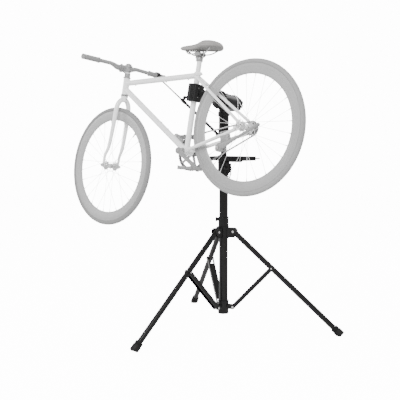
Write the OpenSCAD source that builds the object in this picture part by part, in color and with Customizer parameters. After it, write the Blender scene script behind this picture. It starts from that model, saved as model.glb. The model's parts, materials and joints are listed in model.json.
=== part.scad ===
// A bicycle held by its seat tube in a folding repair stand.
// Millimetres, +Z up, floor at z = 0, mast on the Z axis. The bicycle points along -X.

/* [Tripod] */
// Turn of the three legs about the mast, degrees
leg_turn = 26; // [0:1:40]
// Height of the hinge pins on the sliding collar
collar_z = 546; // [480:2:620]
// Distance of the hinge pins from the mast axis
hinge_r = 57; // [52:1:64]
// Radius of the circle that the feet stand on
foot_ring = 640; // [520:5:760]
// Outer diameter of a leg tube
leg_d = 30; // [24:1:34]
// Wall of the leg tubes
leg_wall = 1.6; // [1.2:0.1:3]
// Outer diameter of a rubber foot
foot_d = 45; // [38:1:54]
// Height of the brace pins on the bottom hub
hub_z = 124; // [100:2:150]
// Distance along a leg from its hinge to the brace joint
brace_at = 290; // [240:2:330]

/* [Mast] */
// Outer diameter of the lower mast tube
mast_d = 49; // [44:1:54]
// Wall of the lower mast tube
mast_wall = 2; // [1.5:0.1:3]
// Top of the lower mast tube
mast_top = 928; // [880:2:960]
// Outer diameter of the sliding upper tube
upper_d = 33; // [28:1:38]
// Length of the upper tube that stays inside the lower one
upper_inside = 420; // [360:5:520]
// Height of the head's neck above the floor
neck_z = 1088; // [1070:2:1110]

/* [Tool tray] */
// Length of the tray, away from the mast
tray_l = 195; // [160:5:230]
// Width of the tray
tray_w = 116; // [100:2:120]
// Depth of the tray
tray_h = 22; // [16:1:28]

/* [Clamp head] */
// Height of the arm's axis at the mast
arm_z = 1262; // [1240:1:1300]
// Distance along the arm from the mast axis to the clamped tube
arm_reach = 240; // [230:1:280]
// Rise of the arm towards the bicycle, degrees
arm_tilt = 7.3; // [0:0.1:10]
// Diameter of the arm's barrel in the head
barrel_d = 84; // [76:1:92]
// Width of the jaws, across the tube
jaw_w = 66; // [60:1:76]
// Height of the jaws, along the tube
jaw_h = 90; // [76:1:110]
// Distance up the seat tube from the crank axle to the jaws
clamp_up = 309; // [280:1:330]

/* [Bicycle pose] */
// How far the front of the bicycle points down, degrees
nose_down = 12.5; // [5:0.1:20]
// Turn of the front wheel to the right, degrees
steer_rest = 2.8; // [0:0.1:4]
// Angle of the cranks behind straight down, degrees
crank_turn = 44; // [20:1:60]

/* [Wheels] */
// Outer radius of a tyre
wheel_r = 339; // [330:1:345]
// Width of a tyre
tyre_w = 28; // [23:1:32]
// Depth of a rim
rim_depth = 52; // [30:1:60]
// Spokes in each wheel
spokes = 28; // [20:4:36]
// Distance between the two axles
wheelbase = 983; // [960:1:1010]

/* [Frame] */
// Distance from the rear axle forward to the crank axle
chainstay_x = 397; // [390:1:410]
// How far the crank axle lies below the wheel axles
bb_drop = 40; // [30:1:60]
// Angle of the seat tube above the horizontal, degrees
seat_angle = 73; // [72:0.1:74]
// Angle of the steering axis above the horizontal, degrees
head_angle = 73; // [72:0.1:74]
// Length of the seat tube above the crank axle
seat_tube_l = 415; // [400:1:440]
// Outer diameter of the seat tube
seat_tube_d = 30; // [28:0.2:32]
// Outer diameter of the top tube
top_tube_d = 30; // [25:0.2:32]
// Outer diameter of the down tube
down_tube_d = 32; // [28:0.2:36]
// Length of the head tube
head_tube_l = 92; // [80:1:100]
// Outer diameter of the head tube
head_tube_d = 36; // [34:0.2:40]
// Height of the head tube's middle above the axles
head_mid_z = 428; // [420:1:440]
// Distance of the fork ends in front of the steering axis
fork_rake = 38; // [34:1:45]

/* [Cockpit] */
// Height of the stem's middle above the upper headset cup
stem_up = 50; // [40:1:70]
// Reach of the stem
stem_reach = 45; // [35:1:70]
// Full width of the handlebar
bar_w = 600; // [580:2:620]
// Diameter of the grips
grip_d = 30; // [28:1:34]
// Length of the grips
grip_l = 120; // [100:1:130]
// Height of the seat post's top above the seat tube
post_up = 72; // [50:1:110]
// Length of the saddle
saddle_l = 270; // [250:1:290]
// Width of the saddle
saddle_w = 150; // [130:1:170]

/* [Drive] */
// Teeth on the chainring
ring_teeth = 46; // [42:1:46]
// Teeth on the sprocket
cog_teeth = 18; // [16:1:20]
// Length of a crank arm
crank_l = 170; // [160:1:175]
// Distance of the chain from the bicycle's middle plane
chain_y = 45; // [43:0.5:47]
// Length of the kickstand's leg
kick_l = 262; // [240:1:280]

/* [Hidden] */
$fn = 96;
round_fn = 180;
fit = 0.05;         // radial clearance of a running fit
gap = 0.4;          // gap between faces that pass each other
touch = 0.01;       // overlap that makes one solid of two shapes
paint_black = "#1c1c1e";
rubber_black = "#242426";
frame_white = "#ececec";
faded_grey = "#a6a6a6";

// ---------- helpers ----------
function turn(p, axis, a) =
  let (k = axis / norm(axis))
  p * cos(a) + cross(k, p) * sin(a) + k * (k * p) * (1 - cos(a));

module between(p, q) {
  d = q - p;
  translate(p) rotate([0, acos(d.z / norm(d)), atan2(d.y, d.x)]) children();
}

module rod(p, q, r) {
  between(p, q) cylinder(h = norm(q - p), r = r);
}

module pipe(p, q, r, wall) {
  l = norm(q - p);
  between(p, q) difference() {
    cylinder(h = l, r = r);
    translate([0, 0, -1]) cylinder(h = l + 2, r = r - wall);
  }
}

// a cylinder along +Y
module ycyl(y0, y1, r) {
  translate([0, y0, 0]) rotate([-90, 0, 0]) cylinder(h = y1 - y0, r = r);
}

// ---------- tripod ----------
mast_r = mast_d / 2;
leg_r = leg_d / 2;
foot_r = foot_d / 2;
foot_axis_z = 15;                       // where a leg's axis meets the foot ring
leg_run = foot_ring - hinge_r;
leg_drop = collar_z - foot_axis_z;
leg_len = norm([leg_run, leg_drop]);
leg_tilt = atan2(leg_run, leg_drop);    // from straight down
pin_r = 4;
brace_end = [hinge_r + brace_at * sin(leg_tilt), 0, collar_z - brace_at * cos(leg_tilt)];
brace_root = [hinge_r, 0, hub_z];
brace_len = norm(brace_end - brace_root);
sleeve_r = mast_r + 4;
ear_in = leg_r + gap;                   // inner face of an ear
ear_t = 4.5;
cheek_t = 2.2;

module at_leg(i) {
  rotate([0, 0, leg_turn + 120 * (i - 1)]) children();
}

// local +Z runs down the leg from its hinge
module leg_frame(i) {
  at_leg(i) translate([hinge_r, 0, collar_z]) rotate([0, 180 - leg_tilt, 0]) children();
}

module leg(i) color(paint_black) leg_frame(i) {
  difference() {
    translate([0, 0, -14]) cylinder(h = leg_len + 14, r = leg_r);
    translate([0, 0, 12]) cylinder(h = leg_len, r = leg_r - leg_wall);
    ycyl(-leg_r - 1, leg_r + 1, pin_r + fit);
  }
}

module foot(i) color(rubber_black) intersection() {
  leg_frame(i) difference() {
    union() {
      translate([0, 0, leg_len - 38]) cylinder(h = 44, r = foot_r - 2);
      translate([0, 0, leg_len - 20]) cylinder(h = 36, r = foot_r);
    }
    translate([0, 0, leg_len - 40]) cylinder(h = 40, r = leg_r);
  }
  translate([0, 0, 500]) cube([2000, 2000, 1000], center = true);
}

// a channel with its back towards the mast, open where the leg passes
module brace(i) {
  tilt = atan2(brace_end.x - brace_root.x, brace_end.z - brace_root.z);
  half = 12;
  color(paint_black) at_leg(i) translate(brace_root) rotate([0, tilt, 0]) {
    for (s = [-1, 1]) difference() {
      translate([0, s > 0 ? ear_in : -ear_in - cheek_t, 0]) union() {
        translate([-half, 0, 0]) cube([2 * half, cheek_t, brace_len]);
        ycyl(0, cheek_t, half);
        translate([0, 0, brace_len]) ycyl(0, cheek_t, half);
        translate([0, s > 0 ? cheek_t - touch : -4, brace_len]) ycyl(0, 4 + touch, 6.5);
      }
      ycyl(-ear_in - 5, ear_in + 5, pin_r + fit);
    }
    translate([-half, -ear_in - cheek_t, 24])
      cube([cheek_t, 2 * (ear_in + cheek_t), brace_len - 24 - 46]);
  }
}

module collar() color(paint_black) difference() {
  union() {
    translate([0, 0, collar_z - 38]) cylinder(h = 66, r = sleeve_r + 1.5);
    translate([0, 0, collar_z + 26]) cylinder(h = 54, r = sleeve_r);
    for (i = [1, 2, 3]) at_leg(i) for (s = [-1, 1])
      translate([0, s > 0 ? ear_in : -ear_in - ear_t, collar_z]) {
        translate([hinge_r, 0, 0]) ycyl(0, ear_t, 20);
        translate([mast_r, 0, -32]) cube([hinge_r - mast_r, ear_t, 52]);
        translate([hinge_r - touch, 0, -32]) cube([10, ear_t, 22]);
      }
    knob_frame() translate([0, 0, mast_r + 2]) cylinder(h = 6.5, r = 9);
  }
  translate([0, 0, collar_z - 60]) cylinder(h = 200, r = mast_r + fit);
  for (i = [1, 2, 3]) at_leg(i) translate([hinge_r, 0, collar_z]) ycyl(-40, 40, pin_r);
  knob_frame() cylinder(h = 60, r = 3 + fit);
}

// local +Z points out of the collar along its clamp screw
module knob_frame() {
  rotate([0, 0, 215]) translate([0, 0, collar_z + 66]) rotate([0, 90, 0]) children();
}

module collar_knob() color(rubber_black) knob_frame() {
  translate([0, 0, mast_r + gap]) cylinder(h = 14, r = 3);
  translate([0, 0, mast_r + 8.5 + gap]) difference() {
    cylinder(h = 11, r = 12);
    for (k = [0 : 5]) rotate([0, 0, 60 * k]) translate([14, 0, -1]) cylinder(h = 13, r = 4);
  }
}

// a pin with a domed head at each end
module pin(half, r, head_r) {
  ycyl(-half, half, r);
  for (s = [-1, 1]) translate([0, s > 0 ? half - touch : -half - 3 + touch, 0]) ycyl(0, 3, head_r);
}

module collar_pins() color("silver")
  for (i = [1, 2, 3]) at_leg(i) translate([hinge_r, 0, collar_z]) pin(ear_in + ear_t, pin_r, 6.5);

module hub_pins() color("silver")
  for (i = [1, 2, 3]) at_leg(i) translate(brace_root) pin(ear_in + cheek_t + gap, pin_r, 6.5);

hub_bottom = 84;
module base_hub() color(paint_black) difference() {
  union() {
    translate([0, 0, hub_bottom + 6]) cylinder(h = 68, r = sleeve_r + 1);
    translate([0, 0, hub_bottom]) cylinder(h = 6 + touch, r1 = sleeve_r - 6, r2 = sleeve_r + 1);
    for (i = [1, 2, 3]) at_leg(i) for (s = [-1, 1])
      translate([0, s > 0 ? ear_in - gap - 6 : -ear_in + gap, hub_z]) {
        translate([hinge_r, 0, 0]) ycyl(0, 6, 12);
        translate([mast_r, 0, -12]) cube([hinge_r - mast_r, 6, 24]);
      }
  }
  translate([0, 0, hub_bottom + 12]) cylinder(h = 100, r = mast_r);
  for (i = [1, 2, 3]) at_leg(i) translate(brace_root) ycyl(-40, 40, pin_r);
}

// ---------- mast ----------
upper_r = upper_d / 2;
clamp_top = mast_top + 10;
module mast_lower() color(paint_black) {
  pipe([0, 0, hub_bottom + 12], [0, 0, mast_top], mast_r, mast_wall);
  // spring button that stops the collar
  rotate([0, 0, 205]) translate([mast_r - 1, 0, 313]) rotate([0, 90, 0]) cylinder(h = 4, r = 3.5);
}

upper_foot = mast_top - upper_inside;
bush_r = mast_r - mast_wall - fit;
module mast_upper() color(paint_black) difference() {
  union() {
    translate([0, 0, upper_foot]) cylinder(h = neck_z + 110 - upper_foot, r = upper_r);
    translate([0, 0, upper_foot]) cylinder(h = 30, r = bush_r);
  }
  translate([0, 0, upper_foot - 1]) cylinder(h = 900, r = upper_r - 2);
}

ear_turn = 350;
lever_y = -26;          // where the clamp's lever hangs beside its ears
module height_clamp() color(paint_black) difference() {
  union() {
    translate([0, 0, mast_top - 62]) cylinder(h = 62 + 10, r = mast_r + 7);
    translate([0, 0, mast_top - 70]) cylinder(h = 10, r = mast_r + 4);
    rotate([0, 0, ear_turn]) translate([mast_r, -14, mast_top - 58]) cube([23, 28, 52]);
  }
  translate([0, 0, mast_top - 100]) cylinder(h = 100, r = mast_r);
  translate([0, 0, mast_top - 1]) cylinder(h = 20, r = upper_r + fit);
  rotate([0, 0, ear_turn]) translate([mast_r + 5, -1.5, mast_top - 80]) cube([40, 3, 100]);
  lever_frame() ycyl(-60, 60, 4);
}

// local +Y is the clamp bolt's axis
module lever_frame() {
  rotate([0, 0, ear_turn]) translate([mast_r + 15, 0, mast_top - 34]) children();
}

module height_lever() color(rubber_black) lever_frame() {
  ycyl(lever_y - 2, 14.5, 4 - fit);
  ycyl(14 + gap, 19, 8);
  ycyl(lever_y, -14 - gap, 10);
  translate([-6, lever_y, -62]) cube([12, 8, 62]);
  translate([0, 0, -62]) ycyl(lever_y, lever_y + 8, 6);
}

// ---------- tool tray ----------
tray_x0 = -52;
tray_floor_z = clamp_top;
tray_wall = 2.5;
module tool_tray() color(rubber_black) {
  difference() {
    translate([tray_x0, -tray_w / 2, tray_floor_z]) cube([tray_l + 34, tray_w, tray_h]);
    translate([tray_x0 + tray_wall, -tray_w / 2 + tray_wall, tray_floor_z + 3])
      cube([tray_l + 34 - 2 * tray_wall, tray_w - 2 * tray_wall, tray_h]);
    translate([0, 0, tray_floor_z - 1]) cylinder(h = 10, r = upper_r + 1);
    for (k = [0 : 4]) translate([70 + 22 * k, 36, tray_floor_z - 1]) cylinder(h = 10, r = 5);
  }
  // rib below the floor and a tool peg at the far end
  translate([mast_r + 12, -9, tray_floor_z - 9]) cube([84, 18, 9 + touch]);
  translate([tray_l - 18, 44, tray_floor_z + 12]) rotate([0, 90, 0]) cylinder(h = 34, r = 3.5);
}

// ---------- head and clamp ----------
barrel_r = barrel_d / 2;
barrel_back = -98;
barrel_front = 28;
spindle_r = 12;
disc_r = barrel_r + 8;
disc_t = 19;

// local +Y runs along the arm towards the bicycle
module arm_frame() {
  translate([0, 0, arm_z]) rotate([0, 0, 180]) rotate([arm_tilt, 0, 0]) children();
}

module head_casting() color(paint_black) {
  head_body();
  stay_lug();
}

module head_body() difference() {
  union() {
    translate([0, 0, neck_z]) cylinder(h = arm_z - neck_z, r = upper_r + 11);
    translate([0, 0, neck_z]) cylinder(h = 16, r = upper_r + 13);
    translate([0, 0, neck_z + 92]) cylinder(h = 22, r = upper_r + 15);
    arm_frame() ycyl(barrel_back, barrel_front, barrel_r);
    arm_frame() ycyl(barrel_back + 14, barrel_back + 26, barrel_r + 3);
  }
  translate([0, 0, neck_z - 1]) cylinder(h = 111, r = upper_r);
  arm_frame() ycyl(barrel_back - 1, barrel_front + 1, spindle_r + fit);
}

knob_back = barrel_back - gap;
module head_knob() color(rubber_black) arm_frame() difference() {
  union() {
    ycyl(knob_back - 10, knob_back, 24);
    ycyl(knob_back - 34, knob_back - 10 + touch, 35);
  }
  for (k = [0 : 7]) rotate([0, 45 * k, 0]) translate([39, 0, 0]) ycyl(knob_back - 35, knob_back - 9, 8);
  ycyl(knob_back - 24, knob_back + 1, spindle_r + fit);
}

arm_end = arm_reach - 62;
module clamp_arm() color(paint_black) arm_frame() {
  ycyl(knob_back - 22, barrel_front + gap, spindle_r);
  difference() {
    ycyl(barrel_front + gap - touch, barrel_front + gap + disc_t, disc_r);
    for (k = [0 : 23]) rotate([0, 15 * k, 0]) translate([disc_r + 1.5, 0, 0])
      ycyl(barrel_front, barrel_front + 30, 3);
  }
  ycyl(barrel_front + disc_t, arm_end, 20);
  ycyl(arm_end - 26, arm_end, 25);
}

// local +Z runs up the clamped seat tube, +Y away from the mast, +X forward
module jaw_frame() {
  arm_frame() translate([0, arm_reach, 0]) rotate([0, nose_down - 90 + seat_angle, 0]) children();
}

tube_r = seat_tube_d / 2;
pin_x = jaw_w / 2 + 6;
pin_hole = 3;
knuckle_r = 7;

module tall(h) {
  translate([0, 0, -h / 2]) cylinder(h = h, r = knuckle_r);
}

module jaw_fixed() color(paint_black) jaw_frame() {
  translate([pin_x, 0, 0]) cylinder(h = 72, r = pin_hole, center = true);
  jaw_back();
}

module jaw_back() difference() {
  union() {
    translate([-jaw_w / 2, -30, -jaw_h / 2]) cube([jaw_w, 30, jaw_h]);
    translate([-30, -66, -40]) cube([60, 38, 64]);
    for (s = [-1, 1]) translate([pin_x, 0, s * 26]) tall(20);
    for (s = [-1, 1]) translate([jaw_w / 2 - 1, 1 - knuckle_r, s * 26 - 9]) cube([7, knuckle_r - 1, 18]);
  }
  translate([0, 0, -100]) cylinder(h = 200, r = tube_r);
  translate([pin_x, 0, 0]) cylinder(h = 31.4, r = knuckle_r + gap, center = true);
  rotate([0, -nose_down + 90 - seat_angle, 0]) ycyl(-90, -62, 26);
}

module jaw_moving() color(rubber_black) jaw_frame() {
  difference() {
    union() {
      intersection() {
        translate([0, 0, -jaw_h / 2]) cylinder(h = jaw_h, r = 38);
        translate([-jaw_w / 2, gap, -jaw_h]) cube([jaw_w, 60, 2 * jaw_h]);
      }
      for (k = [-3 : 3]) rotate([0, 0, 90 + 15 * k]) translate([37.5, 0, -jaw_h / 2 + 4])
        cylinder(h = jaw_h - 8, r = 2);
      translate([jaw_w / 2 - 3, gap, -14]) cube([9, knuckle_r - 1 - gap, 28]);
      translate([pin_x, 0, 0]) tall(30);
    }
    translate([0, 0, -100]) cylinder(h = 200, r = tube_r + 0.3);
    for (s = [-1, 1]) translate([pin_x, 0, s * 32.2]) cylinder(h = 34, r = knuckle_r + gap, center = true);
    translate([pin_x, 0, -100]) cylinder(h = 200, r = pin_hole + fit);
    latch_frame() translate([0, 0, -14]) cylinder(h = 28, r = 7 + gap);
  }
  latch_frame() translate([0, 0, -24]) cylinder(h = 48, r = pin_hole);
}

module latch_frame() {
  translate([-jaw_w / 2 + 3, 12, 0]) children();
}

module jaw_latch() color(paint_black) jaw_frame() latch_frame() difference() {
  union() {
    translate([0, 0, -13]) cylinder(h = 26, r = 7);
    translate([-13, -8, -13]) cube([8, 8, 26]);
    translate([-13, -34, -13]) cube([6, 34, 26]);
  }
  translate([0, 0, -20]) cylinder(h = 40, r = pin_hole + fit);
}

// ---------- bicycle frame ----------
// Bicycle coordinates: origin at the rear axle, +X forward, +Y left, +Z up.
bb = [chainstay_x, 0, -bb_drop];
seat_dir = [-cos(seat_angle), 0, sin(seat_angle)];
head_dir = [-cos(head_angle), 0, sin(head_angle)];
seat_top = bb + seat_tube_l * seat_dir;
front_hub = [wheelbase, 0, 0];
// the steering axis passes fork_rake behind the front axle
head_mid = front_hub - fork_rake / sin(head_angle) * [1, 0, 0] + head_mid_z / sin(head_angle) * head_dir;
head_low = head_mid - head_tube_l / 2 * head_dir;
head_high = head_mid + head_tube_l / 2 * head_dir;
clamp_at = bb + clamp_up * seat_dir;
top_rear = seat_top - 14 * seat_dir;
top_front = head_mid + 18 * head_dir;
down_front = head_mid - 14 * head_dir;
bb_r = 20;
bb_half = 34;
wall = 1.4;
rear_half = 60;         // half the width between the rear fork ends
front_half = 50;
end_t = 5;              // thickness of the fork ends

module bike() {
  arm_frame() translate([0, arm_reach, 0]) rotate([0, nose_down, 0]) translate(-clamp_at) children();
}

// local +Z up the steering axis, origin at the middle of the head tube
module steer_frame() {
  bike() translate(head_mid) rotate([0, head_angle - 90, 0]) rotate([0, 0, -steer_rest]) children();
}

cup_h = 7;
steerer_r = 14.3;
module head_tube() color(frame_white) bike() translate(head_mid) rotate([0, head_angle - 90, 0])
  difference() {
    union() {
      cylinder(h = head_tube_l, r = head_tube_d / 2, center = true);
      for (s = [-1, 1]) translate([0, 0, s * (head_tube_l / 2 + cup_h / 2)])
        cylinder(h = cup_h + touch, r = head_tube_d / 2 + 4, center = true);
    }
    cylinder(h = head_tube_l - 10, r = head_tube_d / 2 - 2.5, center = true);
    cylinder(h = 200, r = steerer_r + fit, center = true);
  }

module top_tube() color(frame_white) bike() {
  difference() {
    pipe(top_rear, top_front, top_tube_d / 2, wall);
    rod(bb, seat_top + 20 * seat_dir, seat_tube_d / 2);
    seat_collar();
    rod(head_low, head_high, head_tube_d / 2);
  }
  // cable stops under the tube
  for (t = [0.12, 0.42, 0.86])
    translate(top_rear + t * (top_front - top_rear) - [0, 0, top_tube_d / 2 + 2])
      ycyl(-3, 3, 3.2);
}

module down_tube() color(frame_white) bike() difference() {
  pipe(bb, down_front, down_tube_d / 2, wall);
  rod(bb, seat_top, seat_tube_d / 2);
  rod(head_low, head_high, head_tube_d / 2);
  translate(bb) ycyl(-bb_half, bb_half, bb_r);
  rod(top_rear, top_front, top_tube_d / 2);
}

post_r = seat_tube_d / 2 - wall - 0.3;
module seat_collar() {
  rod(seat_top - 14 * seat_dir, seat_top + 2 * seat_dir, seat_tube_d / 2 + 2.5);
}

module seat_tube() color(frame_white) bike() difference() {
  union() {
    rod(bb, seat_top, seat_tube_d / 2);
    seat_collar();
    translate(bb) ycyl(-bb_half, bb_half, bb_r);
    translate(seat_top - 6 * seat_dir - [seat_tube_d / 2 + 3, 0, 0]) ycyl(-9, 9, 5);
  }
  rod(bb + 12 * seat_dir, seat_top + 20 * seat_dir, post_r + fit);
  translate(bb) ycyl(8 - bb_half, bb_half - 8, 16);
  translate(bb) ycyl(-bb_half - 1, bb_half + 1, bb_spindle_r + fit);
}

stay_r = 7.5;
chain_stay_r = 9;
module rear_end(s) {
  difference() {
    translate([0, s > 0 ? rear_half : -rear_half - end_t, 0]) union() {
      ycyl(0, end_t, 15);
      translate([0, 0, -22]) cube([34, end_t, 26]);
      translate([-14, 0, 0]) cube([26, end_t, 28]);
    }
    ycyl(-100, 100, 5);
    translate([-30, -100, -5]) cube([30, 200, 10]);
  }
}

module chainstays() color(frame_white) bike() {
  difference() {
    for (s = [-1, 1]) rod([chainstay_x, s * 22, -bb_drop], [18, s * (rear_half + 2), -13], chain_stay_r);
    translate(bb) ycyl(-80, 80, bb_r);
    rod(bb, seat_top, seat_tube_d / 2);
    for (s = [-1, 1]) rod([chainstay_x, s * 22, -bb_drop], [18, s * (rear_half + 2), -13], chain_stay_r - wall);
  }
  difference() {
    for (s = [-1, 1]) rear_end(s);
    for (s = [-1, 1]) rod([chainstay_x, s * 22, -bb_drop], [18, s * (rear_half + 2), -13], chain_stay_r - touch);
  }
  // bridge between the stays in front of the tyre
  translate([wheel_r + 14, 0, -bb_drop + 4]) ycyl(-20, 20, 6);
}

stay_top = seat_top - 20 * seat_dir;
module seatstays() color(frame_white) bike() {
  difference() {
    for (s = [-1, 1]) rod(stay_top + [0, s * 15, 0], [-4, s * (rear_half + 2), 14], stay_r);
    rod(bb, seat_top, seat_tube_d / 2);
    seat_collar();
    rod(top_rear, top_front, top_tube_d / 2);
    for (s = [-1, 1]) rod(stay_top + [0, s * 15, 0], [-4, s * (rear_half + 2), 14], stay_r - wall);
    for (s = [-1, 1]) rear_end(s);
  }
  stay_line = [-4, 0, 14] - stay_top;
  translate(stay_top + 0.17 * stay_line) ycyl(-20, 20, 6);
}

// ---------- seat ----------
post_top = seat_top + post_up * seat_dir;
module seatpost() color(frame_white) bike() {
  pipe(seat_top - 150 * seat_dir, post_top, post_r, 2.2);
}

saddle_tilt = -14;
rail_z = 24;            // rails above the top of the post
// origin at the saddle's clamp, local +X towards its nose
module saddle_frame() {
  bike() translate(post_top) rotate([0, saddle_tilt, 0]) children();
}

module saddle_rails() color("dimgray") saddle_frame() difference() {
  union() {
    for (s = [-1, 1]) {
      rod([-54, s * 22, rail_z], [64, s * 22, rail_z], 3.5);
      rod([60, s * 22.5, rail_z - 1], [96, s * 9, rail_z + 22], 3.5);
      rod([-50, s * 21.5, rail_z - 1], [-92, s * 36, rail_z + 22], 3.5);
    }
    translate([-16, -29, rail_z - 9]) cube([36, 58, 16]);
    translate([2, 0, -14]) cylinder(h = rail_z + 6, r = post_r + 5);
    translate([-20, 0, 8]) ycyl(-22, 22, 5);
    translate([24, 0, 8]) ycyl(-22, 22, 5);
    translate([-22, -10, 2]) cube([48, 20, 14]);
  }
  rotate([0, -saddle_tilt, 0]) rod(-60 * seat_dir, [0, 0, 0], post_r);
}

saddle_tail = -128;
saddle_nose = saddle_tail + saddle_l;
tail_r = 40;
nose_r = 17;
function arc(centre, r, a0, a1, n) = [for (k = [0 : n]) let (a = a0 + (a1 - a0) * k / n) centre + r * [cos(a), sin(a)]];

// outline from above, nose at +X
module saddle_plan() {
  half = saddle_w / 2;
  x = saddle_tail;
  flank = [[x + 100, half - 22], [x + 130, half - 40], [x + 165, 24]];
  polygon(concat(
    arc([saddle_nose - nose_r, 0], nose_r, 80, -80, 10),
    [for (k = [2 : -1 : 0]) [flank[k].x, -flank[k].y]],
    arc([x + 52, tail_r - half], tail_r, -70, -180, 10),
    arc([x + 52, half - tail_r], tail_r, 180, 70, 10),
    flank
  ));
}

// outline from the side, kept between a low belly and a gently dished top
module saddle_side() {
  x = saddle_tail;
  nose = saddle_nose;
  polygon([
    [x, 62], [x + 6, 78], [x + 24, 87], [x + 60, 88], [x + 110, 80], [x + 170, 75],
    [nose - 20, 76], [nose - 6, 72], [nose, 62], [nose - 4, 50], [nose - 24, 43],
    [x + 130, 44], [x + 70, 46], [x + 20, 42], [x + 4, 48]
  ]);
}

module saddle() color("#9b948f") saddle_frame() intersection() {
  translate([0, 0, 30]) linear_extrude(height = 70) saddle_plan();
  rotate([90, 0, 0]) linear_extrude(height = 200, center = true) saddle_side();
}

// ---------- fork and cockpit ----------
race_z = -head_tube_l / 2 - cup_h - gap;      // top of the fork's crown race
crown_z = race_z - 22;
stem_z = head_tube_l / 2 + cup_h + stem_up;
fork_hub = [fork_rake, 0, -(head_mid_z / sin(head_angle)) - fork_rake / tan(head_angle)];
blade_top_r = 13;
module fork() color(frame_white) steer_frame() {
  difference() {
    union() {
      translate([0, 0, race_z - 10]) cylinder(h = 10, r = 20);
      translate([0, 0, crown_z - 12]) cylinder(h = 30, r = 19);
      for (s = [-1, 1]) {
        rod([0, s * 6, crown_z + 6], [2, s * 44, crown_z - 46], blade_top_r);
        translate([2, s * 44, crown_z - 46]) sphere(r = blade_top_r + 0.6);
        between([2, s * 44, crown_z - 46], fork_hub + [0, s * (front_half + 3), 16])
          cylinder(h = norm(fork_hub + [0, s * (front_half + 3), 16] - [2, s * 44, crown_z - 46]),
                   r1 = blade_top_r, r2 = 7.5);
      }
      for (s = [-1, 1]) translate(fork_hub + [0, s > 0 ? front_half : -front_half - end_t, 0])
        union() {
          ycyl(0, end_t, 12);
          translate([-7, 0, 0]) cube([14, end_t, 26]);
        }
    }
    translate(fork_hub) ycyl(-80, 80, 5);
    translate(fork_hub + [-5, -80, -20]) cube([10, 160, 20]);
    translate([0, 0, crown_z - 40]) cylinder(h = 40, r = 9);
  }
  difference() {
    translate([0, 0, race_z - touch]) cylinder(h = stem_z + 18 - race_z, r = steerer_r);
    translate([0, 0, race_z + 4]) cylinder(h = 300, r = steerer_r - 2.2);
  }
}

module axle_set(half, end) {
  ycyl(-half - end_t - 16, half + end_t + 16, 4.99);
  for (s = [-1, 1]) {
    translate([0, s > 0 ? half + end_t : -half - end_t - 8, 0]) rotate([-90, 0, 0]) cylinder(h = 8, r = 9, $fn = 6);
    translate([0, s > 0 ? half + end_t : -half - end_t - 1.5, 0]) ycyl(0, 1.5, 10.5);
    translate([0, s > 0 ? half - 6 : -half, 0]) ycyl(0, 6, 8);
  }
}

module front_axle() color("silver") steer_frame() translate(fork_hub) axle_set(front_half);

stem_r = 17;
bar_at = [stem_reach, 0, stem_z];
clamp_r = 15.9;
module stem() color(faded_grey) steer_frame() {
  for (s = [-1, 1], t = [-1, 1]) translate(bar_at + [0, s * 16, t * 18.6]) rotate([0, 90, 0])
    cylinder(h = 13, r = 2.6);
  stem_body();
}

module stem_body() difference() {
  union() {
    translate([0, 0, stem_z - 20]) cylinder(h = 40, r = stem_r);
    translate([0, 0, head_tube_l / 2 + cup_h + gap]) cylinder(h = stem_up - 19 - gap, r = stem_r - 1);
    translate([0, 0, stem_z + 20 - touch]) cylinder(h = 5, r = stem_r - 1);
    translate([0, 0, stem_z + 24]) cylinder(h = 4, r = 5);
    translate([0, -15, stem_z - 15]) cube([stem_reach, 30, 30]);
    translate(bar_at) ycyl(-23, 23, clamp_r + 5);
    translate(bar_at + [-2, -23, -22]) cube([11, 46, 44]);
    for (t = [-1, 1]) translate([-stem_r + 1, 0, stem_z + 11 * t]) ycyl(-12, 12, 4);
  }
  translate(bar_at) ycyl(-40, 40, clamp_r);
  cylinder(h = stem_z + 18, r = steerer_r);
  translate(bar_at + [3, -30, -40]) cube([1.5, 60, 80]);
}

bar_r = 11.1;
bar_rise = 12;
bar_sweep = 20;
bend_y = 92;
bar_knee = [-3, bend_y, bar_rise];
bar_tip = [-bar_sweep, bar_w / 2, bar_rise - 6];
function side(p, s) = [p.x, s * p.y, p.z];
bar_out = (bar_tip - bar_knee) / norm(bar_tip - bar_knee);
// a solid middle with a tapered rise on each side and a hollow straight end
module handlebar() color(faded_grey) steer_frame() translate(bar_at) difference() {
  union() {
    ycyl(-46, 46, clamp_r);
    for (s = [-1, 1]) {
      start = [0, s * 40, 0];
      between(start, side(bar_knee, s))
        cylinder(h = norm(side(bar_knee, s) - start), r1 = clamp_r - 0.5, r2 = bar_r);
      translate(side(bar_knee, s)) sphere(r = bar_r + 0.4);
      rod(side(bar_knee, s), side(bar_tip, s), bar_r);
    }
  }
  for (s = [-1, 1]) rod(side(bar_knee + 20 * bar_out, s), side(bar_tip + 5 * bar_out, s), bar_r - 2.2);
}

grip_r = grip_d / 2;
grip_in = bar_tip - (grip_l - 4) * bar_out;
module grips() color(faded_grey) steer_frame() translate(bar_at) for (s = [-1, 1])
  difference() {
    union() {
      rod(side(grip_in, s), side(bar_tip + 4 * bar_out, s), grip_r - 0.8);
      rod(side(grip_in, s), side(grip_in + 8 * bar_out, s), grip_r + 1.5);
      rod(side(bar_tip - 6 * bar_out, s), side(bar_tip + 4 * bar_out, s), grip_r + 1);
    }
    rod(side(grip_in - 20 * bar_out, s), side(bar_tip, s), bar_r);
  }

// ---------- wheels ----------
tyre_r = tyre_w / 2;
bead_r = wheel_r - tyre_w + 5;          // radius where the tyre meets the rim
rim_half = tyre_r - 3.5;
rim_in = bead_r - rim_depth;
module wheel_axis() { rotate([90, 0, 0]) children(); }

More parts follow.
